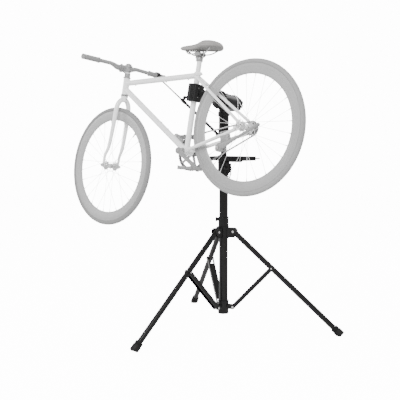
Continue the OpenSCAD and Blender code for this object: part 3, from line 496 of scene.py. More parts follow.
@dataclass
class Workshop:
    """Builds the shared node groups and keeps the finished materials."""

    groups: dict[Effect, bpy.types.NodeTree] = field(default_factory=dict)
    materials: dict[str, bpy.types.Material] = field(default_factory=dict)

    def _start(self, effect: Effect, inputs: dict[str, tuple[str, object]],
               outputs: dict[str, str]) -> tuple[bpy.types.NodeTree, bpy.types.Node, bpy.types.Node]:
        """Makes an empty group with its sockets.

        Args:
            effect: Which effect it is.
            inputs: Socket kind and default by name.
            outputs: Socket kind by name.

        Returns:
            The tree, its input node and its output node.
        """
        tree = bpy.data.node_groups.new(effect.value, "ShaderNodeTree")
        for name, (kind, value) in inputs.items():
            tree.interface.new_socket(name=name, in_out="INPUT", socket_type=kind).default_value = value
        for name, kind in outputs.items():
            tree.interface.new_socket(name=name, in_out="OUTPUT", socket_type=kind)
        self.groups[effect] = tree
        return tree, tree.nodes.new("NodeGroupInput"), tree.nodes.new("NodeGroupOutput")

    @staticmethod
    def _noise(tree: bpy.types.NodeTree, scale: Socket | float, detail: float,
               where: Socket | None = None) -> Socket:
        """Noise on the piece's own coordinates, or on the given ones."""
        noise = tree.nodes.new("ShaderNodeTexNoise")
        noise.inputs["Detail"].default_value = detail
        feed(tree, scale, noise.inputs["Scale"])
        if where is None:
            where = tree.nodes.new("ShaderNodeTexCoord").outputs["Object"]
        tree.links.new(where, noise.inputs["Vector"])
        return noise.outputs["Fac"]

    @staticmethod
    def _ramp(tree: bpy.types.NodeTree, value: Socket, old: tuple[float, float], low: Socket | float,
              high: Socket | float) -> Socket:
        """Maps a value's old range to a new one, clamped."""
        node = tree.nodes.new("ShaderNodeMapRange")
        tree.links.new(value, node.inputs["Value"])
        node.inputs["From Min"].default_value, node.inputs["From Max"].default_value = old
        feed(tree, low, node.inputs["To Min"])
        feed(tree, high, node.inputs["To Max"])
        return node.outputs["Result"]

    @staticmethod
    def _mix(tree: bpy.types.NodeTree, share: Socket, a: Socket, b: Socket) -> Socket:
        """Mixes two colours by a share."""
        node = tree.nodes.new("ShaderNodeMix")
        node.data_type = "RGBA"
        tree.links.new(share, node.inputs[0])
        tree.links.new(a, node.inputs[6])
        tree.links.new(b, node.inputs[7])
        return node.outputs[2]

    @staticmethod
    def _math(tree: bpy.types.NodeTree, kind: str, a: Socket | float, b: Socket | float = 0.0) -> Socket:
        """One math node with numbers or sockets on its inputs."""
        node = tree.nodes.new("ShaderNodeMath")
        node.operation = kind
        feed(tree, a, node.inputs[0])
        feed(tree, b, node.inputs[1])
        return node.outputs[0]

    def build_groups(self) -> None:
        """Builds every shared effect."""
        colour, number = "NodeSocketColor", "NodeSocketFloat"
        # tone: two colours mixed by broad soft noise
        tree, gin, gout = self._start(Effect.MOTTLE,
                                      {"Tone": (colour, (0.5, 0.5, 0.5, 1)),
                                       "Shade": (colour, (0.4, 0.4, 0.4, 1)),
                                                      "Scale": (number, 9.0)}, {"Colour": colour})
        cloud = self._ramp(tree, self._noise(tree, gin.outputs["Scale"], 4.0), (0.35, 0.68), 0.0, 1.0)
        tree.links.new(self._mix(tree, cloud, gin.outputs["Tone"], gin.outputs["Shade"]),
                       gout.inputs["Colour"])
        # grain: fine noise as height, and slower noise as roughness between two bounds
        tree, gin, gout = self._start(Effect.GRAIN,
                                      {"Scale": (number, 900.0), "Low": (number, 0.3), "High": (number, 0.5)},
                                      {"Height": number, "Roughness": number})
        tree.links.new(self._noise(tree, gin.outputs["Scale"], 3.0), gout.inputs["Height"])
        slow = self._noise(tree, self._math(tree, "MULTIPLY", gin.outputs["Scale"], 0.05), 3.0)
        tree.links.new(self._ramp(tree, slow, (0.3, 0.7), gin.outputs["Low"], gin.outputs["High"]),
                       gout.inputs["Roughness"])
        # pebbles: distance to the nearest cell's edge, as in grained hide
        tree, gin, gout = self._start(Effect.PEBBLE, {"Scale": (number, 500.0)},
                                      {"Height": number, "Crease": number})
        cells = tree.nodes.new("ShaderNodeTexVoronoi")
        cells.feature = "DISTANCE_TO_EDGE"
        tree.links.new(tree.nodes.new("ShaderNodeTexCoord").outputs["Object"], cells.inputs["Vector"])
        tree.links.new(gin.outputs["Scale"], cells.inputs["Scale"])
        height = self._ramp(tree, cells.outputs["Distance"], (0.0, 0.22), 0.0, 1.0)
        tree.links.new(height, gout.inputs["Height"])
        tree.links.new(self._math(tree, "SUBTRACT", 1.0, height), gout.inputs["Crease"])
        # brushed: noise stretched along the piece's own Z by the stretch
        tree, gin, gout = self._start(Effect.BRUSHED,
                                      {"Scale": (number, 700.0), "Low": (number, 0.2), "High": (number, 0.4)},
                                      {"Height": number, "Roughness": number})
        place = tree.nodes.new("ShaderNodeMapping")
        place.inputs["Scale"].default_value = (1.0, 1.0, 0.05)
        tree.links.new(tree.nodes.new("ShaderNodeTexCoord").outputs["Object"], place.inputs["Vector"])
        lines = self._noise(tree, gin.outputs["Scale"], 2.0, place.outputs["Vector"])
        tree.links.new(lines, gout.inputs["Height"])
        tree.links.new(self._ramp(tree, lines, (0.3, 0.7), gin.outputs["Low"], gin.outputs["High"]),
                       gout.inputs["Roughness"])
        # rubbed: outward corners, broken up by noise, take the worn colour
        tree, gin, gout = self._start(Effect.RUBBED,
                                      {"Colour": (colour, (0, 0, 0, 1)), "Worn": (colour, (0.2, 0.2, 0.2, 1)),
                                                      "Amount": (number, 0.5)},
                                                      {"Colour": colour, "Mask": number})
        corner = self._ramp(tree, tree.nodes.new("ShaderNodeNewGeometry").outputs["Pointiness"], (0.53, 0.62),
                            0.0, 1.0)
        patch = self._ramp(tree, self._noise(tree, 60.0, 5.0), (0.45, 0.62), 0.0, 1.0)
        mask = self._math(tree, "MULTIPLY", self._math(tree, "MULTIPLY", corner, patch),
                          gin.outputs["Amount"])
        tree.links.new(self._mix(tree, mask, gin.outputs["Colour"], gin.outputs["Worn"]),
                       gout.inputs["Colour"])
        tree.links.new(mask, gout.inputs["Mask"])
        self._build_tread()

    def _build_tread(self) -> None:
        """Tread: slanting sipes that repeat along the tyre and fade out at the middle and on the walls."""
        number = "NodeSocketFloat"
        tree, gin, gout = self._start(Effect.TREAD, {"Pitch": (number, 140.0), "Girth": (number, 0.088)},
                                      {"Height": number, "Groove": number})
        uv = tree.nodes.new("ShaderNodeUVMap")
        uv.uv_map = "surface"
        split = tree.nodes.new("ShaderNodeSeparateXYZ")
        tree.links.new(uv.outputs["UV"], split.inputs[0])
        across = self._math(tree, "DIVIDE", split.outputs["Y"], gin.outputs["Girth"])
        # signed share of the girth, zero at the crown
        signed = self._math(tree, "SUBTRACT", self._math(tree, "FRACT", self._math(tree, "ADD", across, 0.5)),
                            0.5)
        out = self._math(tree, "ABSOLUTE", signed)
        slant = self._math(tree, "ADD",
                           self._math(tree, "MULTIPLY", split.outputs["X"], gin.outputs["Pitch"]),
                           self._math(tree, "MULTIPLY", out, 9.0))
        wave = self._math(tree, "ABSOLUTE",
                          self._math(tree, "SUBTRACT", self._math(tree, "FRACT", slant), 0.5))
        cut = self._ramp(tree, wave, (0.02, 0.09), 1.0, 0.0)
        inside = self._ramp(tree, out, (0.035, 0.05), 0.0, 1.0)
        outside = self._ramp(tree, out, (0.17, 0.2), 1.0, 0.0)
        groove = self._math(tree, "MULTIPLY", self._math(tree, "MULTIPLY", cut, inside), outside)
        tree.links.new(groove, gout.inputs["Groove"])
        tree.links.new(self._math(tree, "SUBTRACT", 1.0, groove), gout.inputs["Height"])

    def use(self, tree: bpy.types.NodeTree, effect: Effect, **values: object) -> bpy.types.Node:
        """Places a group in a material with its own values.

        Args:
            tree: The material's tree.
            effect: Which effect.
            **values: Numbers or colours for its inputs.

        Returns:
            The group node.
        """
        node = tree.nodes.new("ShaderNodeGroup")
        node.node_tree = self.groups[effect]
        for name, value in values.items():
            node.inputs[name].default_value = (*value, 1.0) if isinstance(value, tuple) else value
        return node


SHOP = Workshop()
Colour = tuple[float, float, float]


def grey(level: float, warmth: float = 0.0) -> Colour:
    """A grey, made warmer by a share."""
    return (level * (1 + warmth), level, level * (1 - warmth))


@dataclass(frozen=True)
class Finish:
    """A surface finish: its tones, gloss, grain and wear."""

    name: str
    slot: str
    tone: Colour
    shade: Colour
    rough: tuple[float, float] = (0.35, 0.5)
    metallic: float = 0.0
    coat: float = 0.0
    sheen: float = 0.0
    grain: Effect = Effect.GRAIN
    scale: float = 900.0
    bump: float = 0.05
    worn: Colour | None = None
    wear: float = 0.5
    specular: float = 0.5

    def material(self) -> bpy.types.Material:
        """The Blender material of this finish, made on first use."""
        if self.name in SHOP.materials:
            return SHOP.materials[self.name]
        made = bpy.data.materials.new(self.name)
        made.use_nodes = True
        tree = made.node_tree
        shader = tree.nodes["Principled BSDF"]
        shader.inputs["Metallic"].default_value = self.metallic
        shader.inputs["Coat Weight"].default_value = self.coat
        shader.inputs["Coat Roughness"].default_value = 0.12
        shader.inputs["Sheen Weight"].default_value = self.sheen
        shader.inputs["Specular IOR Level"].default_value = self.specular
        mottle = SHOP.use(tree, Effect.MOTTLE, Tone=self.tone, Shade=self.shade)
        colour = mottle.outputs["Colour"]
        if self.worn is not None:
            rub = SHOP.use(tree, Effect.RUBBED, Worn=self.worn, Amount=self.wear)
            tree.links.new(colour, rub.inputs["Colour"])
            colour = rub.outputs["Colour"]
        tree.links.new(colour, shader.inputs["Base Color"])
        self.relief(tree, shader)
        SHOP.materials[self.name] = made
        return made

    def relief(self, tree: bpy.types.NodeTree, shader: bpy.types.Node) -> None:
        """Feeds the finish's grain to the shader's roughness and, as a bump, to its normal."""
        bump = tree.nodes.new("ShaderNodeBump")
        bump.inputs["Strength"].default_value = self.bump
        bump.inputs["Distance"].default_value = 0.001
        if self.grain in (Effect.GRAIN, Effect.BRUSHED):
            node = SHOP.use(tree, self.grain, Scale=self.scale, Low=self.rough[0], High=self.rough[1])
            tree.links.new(node.outputs["Roughness"], shader.inputs["Roughness"])
        else:
            fine = SHOP.use(tree, Effect.GRAIN, Scale=900.0, Low=self.rough[0], High=self.rough[1])
            tree.links.new(fine.outputs["Roughness"], shader.inputs["Roughness"])
            node = SHOP.use(tree, self.grain)
            if self.grain is Effect.PEBBLE:
                node.inputs["Scale"].default_value = self.scale
        tree.links.new(node.outputs["Height"], bump.inputs["Height"])
        tree.links.new(bump.outputs["Normal"], shader.inputs["Normal"])


BLACK_COAT = Finish("black_powder_coat", "black_paint", grey(0.0030), grey(0.0034), (0.20, 0.30),
                    scale=1400.0,
                    bump=0.03, worn=grey(0.014), wear=0.25, specular=0.22)
BLACK_PLASTIC = Finish("moulded_black_plastic", "black_plastic", grey(0.0036), grey(0.0042), (0.3, 0.44),
                       scale=1800.0,
                       bump=0.05, worn=grey(0.013), wear=0.25, specular=0.2)
BLACK_RUBBER = Finish("soft_black_rubber", "black_rubber", grey(0.0045), grey(0.0052), (0.5, 0.7),
                      grain=Effect.PEBBLE,
                      scale=900.0, bump=0.10, worn=grey(0.02), wear=0.3, specular=0.24)
JAW_RUBBER = Finish("jaw_rubber", "black_plastic", grey(0.0036), grey(0.0042), (0.36, 0.52),
                    grain=Effect.PEBBLE,
                    scale=1100.0, bump=0.08, worn=grey(0.018), wear=0.3, specular=0.26)
ZINC = Finish("zinc_plated_steel", "pin_steel", grey(0.56, 0.01), grey(0.46, 0.01), (0.22, 0.38),
              metallic=1.0,
              grain=Effect.BRUSHED, bump=0.04, worn=grey(0.3, 0.05))
DULL_ROD = Finish("dull_steel_rod", "stay_steel", grey(0.20), grey(0.15), (0.3, 0.45), metallic=0.9,
                  grain=Effect.BRUSHED, bump=0.05)
WHITE_PAINT = Finish("gloss_white_paint", "white_paint", grey(0.93), grey(0.91), (0.2, 0.3), coat=0.6,
                     scale=500.0,
                     bump=0.015, worn=grey(0.6), wear=0.3)
PALE_POST = Finish("pale_anodised_post", "white_post", grey(0.86), grey(0.82), (0.25, 0.36), metallic=0.15,
                   grain=Effect.BRUSHED, bump=0.03)
RAIL_STEEL = Finish("satin_rail_steel", "rail_steel", grey(0.42), grey(0.36), (0.25, 0.4), metallic=0.6,
                    grain=Effect.BRUSHED, bump=0.03)
SADDLE_SKIN = Finish("pale_saddle_cover", "saddle_cover", grey(0.25, 0.04), grey(0.23, 0.04), (0.45, 0.62),
                     sheen=0.05,
                     grain=Effect.PEBBLE, scale=650.0, bump=0.16, worn=grey(0.30, 0.04), wear=0.2)
SADDLE_BASE = Finish("saddle_base_plastic", "saddle_cover", grey(0.20, 0.03), grey(0.18, 0.03), (0.5, 0.6),
                     scale=1500.0,
                     bump=0.10)
THREAD = Finish("pale_seam_thread", "saddle_cover", grey(0.30, 0.03), grey(0.27, 0.03), (0.7, 0.8), bump=0.1)
GREY_ALLOY = Finish("satin_grey_alloy", "grey_alloy", grey(0.27), grey(0.25), (0.3, 0.42), metallic=0.2,
                    scale=1200.0,
                    bump=0.04, worn=grey(0.45), wear=0.4)
GREY_RUBBER = Finish("pale_grip_rubber", "grey_rubber", grey(0.25), grey(0.23), (0.6, 0.75),
                     grain=Effect.PEBBLE,
                     scale=1300.0, bump=0.16, specular=0.4)
# The front tyre is the same grey rubber as the rear one, painted a shade darker: painted shade on the front
# tyre.
SHADED_FRONT_TYRE = Finish("front_tyre_rubber_painted_shade", "tyre_grey", grey(0.235), grey(0.22), (0.62, 0.78),
                    grain=Effect.TREAD, bump=0.5,
                    specular=0.35)
REAR_TYRE = Finish("rear_tyre_rubber", "tyre_grey", grey(0.285), grey(0.27), (0.62, 0.78), grain=Effect.TREAD,
                   bump=0.5,
                   specular=0.35)
RIM_COAT = Finish("grey_rim_coat", "rim_grey", grey(0.37), grey(0.35), (0.36, 0.5), metallic=0.1,
                  scale=1500.0, bump=0.04,
                  worn=grey(0.45), wear=0.2)
# The rear rim is the same grey coat as the front rim, painted a shade darker: painted shade on the rear rim.
SHADED_REAR_RIM_COAT = replace(RIM_COAT, name="grey_rear_rim_coat_painted_shade", tone=grey(0.33), shade=grey(0.315))
HUB_ALLOY = Finish("polished_hub_alloy", "hub_alloy", grey(0.66), grey(0.58), (0.16, 0.3), metallic=0.7,
                   grain=Effect.BRUSHED, bump=0.03)
SPOKE_STEEL = Finish("bright_spoke_steel", "spoke_steel", grey(0.80), grey(0.72), (0.18, 0.3), metallic=0.5,
                     grain=Effect.BRUSHED, bump=0.02)
GREY_PLASTIC = Finish("pale_grey_plastic", "grey_plastic", grey(0.25), grey(0.23), (0.45, 0.6), scale=1500.0,
                      bump=0.06,
                      worn=grey(0.36), wear=0.3)
CHAIN_STEEL = Finish("chain_steel", "chain_steel", grey(0.27), grey(0.22), (0.28, 0.42), metallic=0.4,
                     grain=Effect.BRUSHED, bump=0.03, worn=grey(0.55), wear=0.5)
DARK_STEEL = Finish("dark_fastener_steel", "pin_steel", grey(0.10), grey(0.08), (0.3, 0.45), metallic=0.8,
                    grain=Effect.BRUSHED, bump=0.03)

NODE_FINISH: dict[str, Finish] = {
    "black_paint": BLACK_COAT, "black_plastic": BLACK_PLASTIC, "black_rubber": BLACK_RUBBER,
    "pin_steel": ZINC,
    "stay_steel": DULL_ROD, "white_paint": WHITE_PAINT, "white_post": PALE_POST, "rail_steel": RAIL_STEEL,
    "saddle_cover": SADDLE_SKIN, "grey_alloy": GREY_ALLOY, "grey_rubber": GREY_RUBBER, "tyre_grey": REAR_TYRE,
    "rim_grey": RIM_COAT, "hub_alloy": HUB_ALLOY, "spoke_steel": SPOKE_STEEL, "grey_plastic": GREY_PLASTIC,
    "chain_steel": CHAIN_STEEL,
}


# ---------------------------------------------------------------- frames of the object
@dataclass(frozen=True)
class Layout:
    """Sizes in millimetres and angles in degrees that place every sub-assembly."""

    arm_z: float = 1262.0
    arm_reach: float = 240.0
    arm_tilt: float = 7.3
    nose_down: float = 12.5
    steer_rest: float = 2.8
    crank_turn: float = 44.0
    seat_angle: float = 73.0
    head_angle: float = 73.0
    seat_tube: float = 415.0
    clamp_up: float = 309.0
    post_up: float = 72.0
    rake: float = 38.0
    head_mid_z: float = 428.0
    leg_turn: float = 26.0
    collar_z: float = 546.0
    hinge_r: float = 57.0
    foot_ring: float = 640.0
    wheelbase: float = 983.0
    chainstay_x: float = 397.0
    bracket_drop: float = 40.0

    @property
    def bracket(self) -> Array:
        """Bottom bracket in the bicycle's frame."""
        return vec(self.chainstay_x, 0, -self.bracket_drop)

    @property
    def seat_dir(self) -> Array:
        """Up the seat tube, in the bicycle's frame."""
        a = math.radians(self.seat_angle)
        return vec(-math.cos(a), 0, math.sin(a))

    @property
    def seat_top(self) -> Array:
        """Top of the seat tube, in the bicycle's frame."""
        return self.bracket + self.seat_tube * self.seat_dir

    @property
    def head_dir(self) -> Array:
        """Up the head tube, in the bicycle's frame."""
        a = math.radians(self.head_angle)
        return vec(-math.cos(a), 0, math.sin(a))

    @property
    def head_mid(self) -> Array:
        """Middle of the head tube, in the bicycle's frame."""
        s = math.sin(math.radians(self.head_angle))
        return vec(self.wheelbase - self.rake / s, 0, 0) + self.head_mid_z / s * self.head_dir

    @property
    def arm(self) -> Place:
        """Y runs along the clamp arm towards the bicycle."""
        return Place(vec(0, 0, self.arm_z), turn("z", 180) @ turn("x", self.arm_tilt))

    @property
    def bike(self) -> Place:
        """Rear axle, X forward, Y left, Z up."""
        clamp = self.bracket + self.clamp_up * self.seat_dir
        return self.arm.inner(vec(0, self.arm_reach, 0), turn("y", self.nose_down)).inner(-clamp)

    @property
    def jaw(self) -> Place:
        """Z up the clamped tube, Y away from the mast."""
        return self.arm.inner(vec(0, self.arm_reach, 0), turn("y", self.nose_down - 90 + self.seat_angle))

    @property
    def steer(self) -> Place:
        """Z up the steering axis from the middle of the head tube."""
        return self.bike.inner(self.head_mid, turn("y", self.head_angle - 90) @ turn("z", -self.steer_rest))

    @property
    def fork_hub(self) -> Array:
        """Front axle in the steering frame."""
        a = math.radians(self.head_angle)
        return vec(self.rake, 0, -self.head_mid_z / math.sin(a) - self.rake / math.tan(a))

    @property
    def front_wheel(self) -> Place:
        """Front wheel's frame, Y along its axle."""
        return self.steer.inner(self.fork_hub, turn("y", 90 - self.head_angle))

    @property
    def crank(self) -> Place:
        """X along the left crank arm."""
        return self.bike.inner(self.bracket, turn("y", 90 + self.crank_turn))

    @property
    def post_top(self) -> Array:
        """Top of the seatpost, in the bicycle's frame."""
        return self.seat_top + self.post_up * self.seat_dir

    @property
    def saddle(self) -> Place:
        """Saddle clamp, X towards the nose."""
        return self.bike.inner(self.post_top, turn("y", -14))

    @property
    def leg_tilt(self) -> float:
        """Angle of a leg from straight down."""
        return math.degrees(math.atan2(self.foot_ring - self.hinge_r, self.collar_z - 15))

    @property
    def leg_length(self) -> float:
        """From a leg's hinge to its foot."""
        return math.hypot(self.foot_ring - self.hinge_r, self.collar_z - 15)

    def spread(self, i: int) -> Place:
        """X points out along leg i from the mast."""
        return Place(np.zeros(3), turn("z", self.leg_turn + 120 * (i - 1)))

    def leg(self, i: int) -> Place:
        """Z runs down leg i from its hinge."""
        return self.spread(i).inner(vec(self.hinge_r, 0, self.collar_z), turn("y", 180 - self.leg_tilt))


AT = Layout()
SIDEWAYS = turn("x", -90)      # turns Z onto Y


def hub_frame(offset: Sequence[float] = (0, 0, 0)) -> Place:
    """A frame whose Z runs along the parent's Y axis."""
    return Place(np.array(offset, float), SIDEWAYS)


def mirrored(points: Array, side: int) -> Array:
    """Points with their Y times the side, 1 or -1."""
    return points * vec(1, side, 1)


# ---------------------------------------------------------------- wheels
@dataclass
class Wheel:
    """A laced wheel with a deep rim, in its own frame with Y along the axle."""

    prefix: str
    place: Place
    tyre: Finish
    rim: Finish
    left: float
    right: float
    seat_left: float
    seat_right: float
    valve_turn: float
    radius: float = 339.0
    tyre_r: float = 14.0
    bead: float = 316.0
    inner: float = 264.0
    half: float = 10.5
    spokes: int = 28
    flange: float = 21.0
    lead: float = 62.0

    @property
    def body(self) -> str:
        """The CAD body this wheel is."""
        return f"{self.prefix}_wheel"

    def build(self) -> None:
        """Builds the whole wheel."""
        self.make_tyre()
        self.make_rim()
        self.make_spokes()
        self.make_hub()
        self.make_valve()

    def make_tyre(self) -> None:
        """The section is a circle with two raised wall lines, drawn in where the rim's hooks hold it."""
        a = ring(56)
        off_crown = np.minimum(a, TAU - a)
        size = self.tyre_r * 0.988 + 0.35 * np.exp(-(((off_crown - 1.15) / 0.06) ** 2))
        size += 0.3 * np.exp(-(((off_crown - 1.75) / 0.05) ** 2))
        size -= 1.1 * np.clip((off_crown - 2.0) / 0.5, 0, 1)
        section = np.stack([self.radius - self.tyre_r + size * np.cos(a), size * np.sin(a)], 1)
        shell = Shell(self.place)
        t = ring(300)[:, None]
        pts = np.stack([section[:, 0] * np.cos(t), section[:, 1] + 0 * t, section[:, 0] * np.sin(t)], 2)
        shell.grid(pts, True)
        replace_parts(shell.build(f"{self.prefix}_tyre_casing", self.tyre, self.body, 60),
                    f"{self.prefix}_tyre")

    def make_rim(self) -> None:
        """Half the width grows as a root of the height above the spoke bed, up to flat brake tracks."""
        r = np.linspace(0, 1, 22)
        wall = self.inner + (self.bead - 17 - self.inner) * r**1.25
        y = (self.half - 0.35) * (0.14 + 0.86 * np.sqrt(r)) * np.minimum(1, 0.35 + 2.2 * r)
        side = np.stack([wall, y], 1)
        top = vec(self.bead, self.half)
        track_and_lip = top - np.array([[16.4, 0.75], [15.8, 0.1], [2, 0.05], [0.4, 0.6], [0.3, 1.8],
                                        [5, 3.2]])
        half = np.concatenate([side, track_and_lip, [[self.bead - 8, 4], [self.bead - 9, 0]]])
        bed = vec(self.inner - 0.2, 0)[None]
        profile = np.concatenate([bed, half, (half * vec(1, -1))[::-1][1:]])
        shell = Shell(self.place).lathe(profile, 240, hub_frame(), loop=True)
        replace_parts(shell.build(f"{self.prefix}_rim_section", self.rim, self.body, 30), f"{self.prefix}_rim")

    def _ends(self) -> tuple[Array, Array]:
        """Spoke ends: on a flange circle, led or trailed by a fixed angle, and on the rim at even steps."""
        k = np.arange(self.spokes)
        out = np.where((k // 2) % 2 == 0, 1, -1)
        side = np.where(k % 2 == 0, 1, -1)
        y = np.where(side > 0, self.left, self.right) + side * (0.6 + 1.6 * (out > 0))
        rim = TAU / self.spokes * (k + 0.5)
        hub = rim + out * math.radians(self.lead)
        start = np.stack([self.flange * np.cos(hub), y, self.flange * np.sin(hub)], 1)
        end = np.stack([(self.inner + 2) * np.cos(rim), 0 * y, (self.inner + 2) * np.sin(rim)], 1)
        return start, end

    def make_spokes(self) -> None:
        """Butted wires, thicker near both ends, with a round head on the flange and a nipple at the rim."""
        start, end = self._ends()
        way = unit(end - start)
        shell = Shell(self.place)
        shell.rods(start, start + 30 * way, np.tile([1.1, 0.95], (self.spokes, 1)), 8)
        shell.rods(start + 29 * way, end - 30 * way, 0.9, 8)
        shell.rods(end - 31 * way, end, np.tile([0.95, 1.05], (self.spokes, 1)), 8)
        for p, side in zip(start, np.sign(start[:, 1])):
            shell.lathe([[0.3, -1.2], [1.6, -0.9], [2.0, 0], [1.6, 0.9], [0.3, 1.2]], 8,
                        hub_frame(p + vec(0, 0.2 * side, 0)))
        wires = shell.build(f"{self.prefix}_spoke_set", SPOKE_STEEL, self.body, 60)
        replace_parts(wires, f"{self.prefix}_spokes")
        nipples = Shell(self.place)
        for p, w in zip(end, way):
            nipples.lathe([[1.2, 0], [1.7, 1], [1.7, 8], [2.3, 9.5], [2.3, 15]], 8, along(p - 16 * w, p))
        nipples.build(f"{self.prefix}_nipples", HUB_ALLOY, self.body)

    def make_hub(self) -> None:
        """A waisted shell with two flanges, bearing caps and a grease-port ring."""
        l, r, f = self.left, self.right, self.flange
        waist = [[13 + 2.2 * (abs(2 * t - 1) ** 3), r + 4 + (l - r - 8) * t] for t in np.linspace(0, 1, 14)]
        profile = [[5.2, self.seat_right], [13.2, self.seat_right], [15, self.seat_right + 1.6], [15, r - 4],
                   [16, r - 2.4],
                   [f + 2.6, r - 2.0], [f + 4, r - 1], [f + 4, r + 1], [f + 2.6, r + 2.0], [16, r + 2.6],
                   *waist,
                   [16, l - 2.6], [f + 2.6, l - 2.0], [f + 4, l - 1], [f + 4, l + 1], [f + 2.6, l + 2.0],
                   [16, l + 2.4],
                   [15, l + 4], [15, self.seat_left - 1.6], [13.2, self.seat_left], [5.2, self.seat_left]]
        hub = Shell(self.place).lathe(profile, 64, hub_frame())
        if self.prefix == "rear":
            hub.lathe([[16, -51], [17, -50], [17, -31], [16, -30]], 48, hub_frame())
        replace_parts(hub.build(f"{self.prefix}_hub_shell", HUB_ALLOY, self.body), f"{self.prefix}_hub")
        ring_piece = Shell(self.place).lathe([[14, -3], [14.6, -2], [14.6, 2], [14, 3]], 48,
                                             hub_frame((0, (l + r) / 2, 0)))
        ring_piece.build(f"{self.prefix}_hub_band", GREY_ALLOY, self.body)

    def make_valve(self) -> None:
        """A threaded stem with a ring nut, a knurled cap and its small tip."""
        z = self.inner
        at = turned("y", self.valve_turn)
        stem = [[2.9, z + 3], [2.9, z - 2], [4.6, z - 2.2], [4.6, z - 4], [3.0, z - 4.2]]
        thread = [[2.9 - 0.25 * (k % 2), z - 4.2 - 0.7 * k] for k in range(1, 18)]
        cap = [[3.2, z - 17], [3.25, z - 24], [2.6, z - 26], [0.8, z - 26.4]]
        Shell(self.place).lathe(stem + thread + cap, 36, at,
                                knurled(18, 0.18, 3)).build(f"{self.prefix}_valve_stem", HUB_ALLOY, self.body)


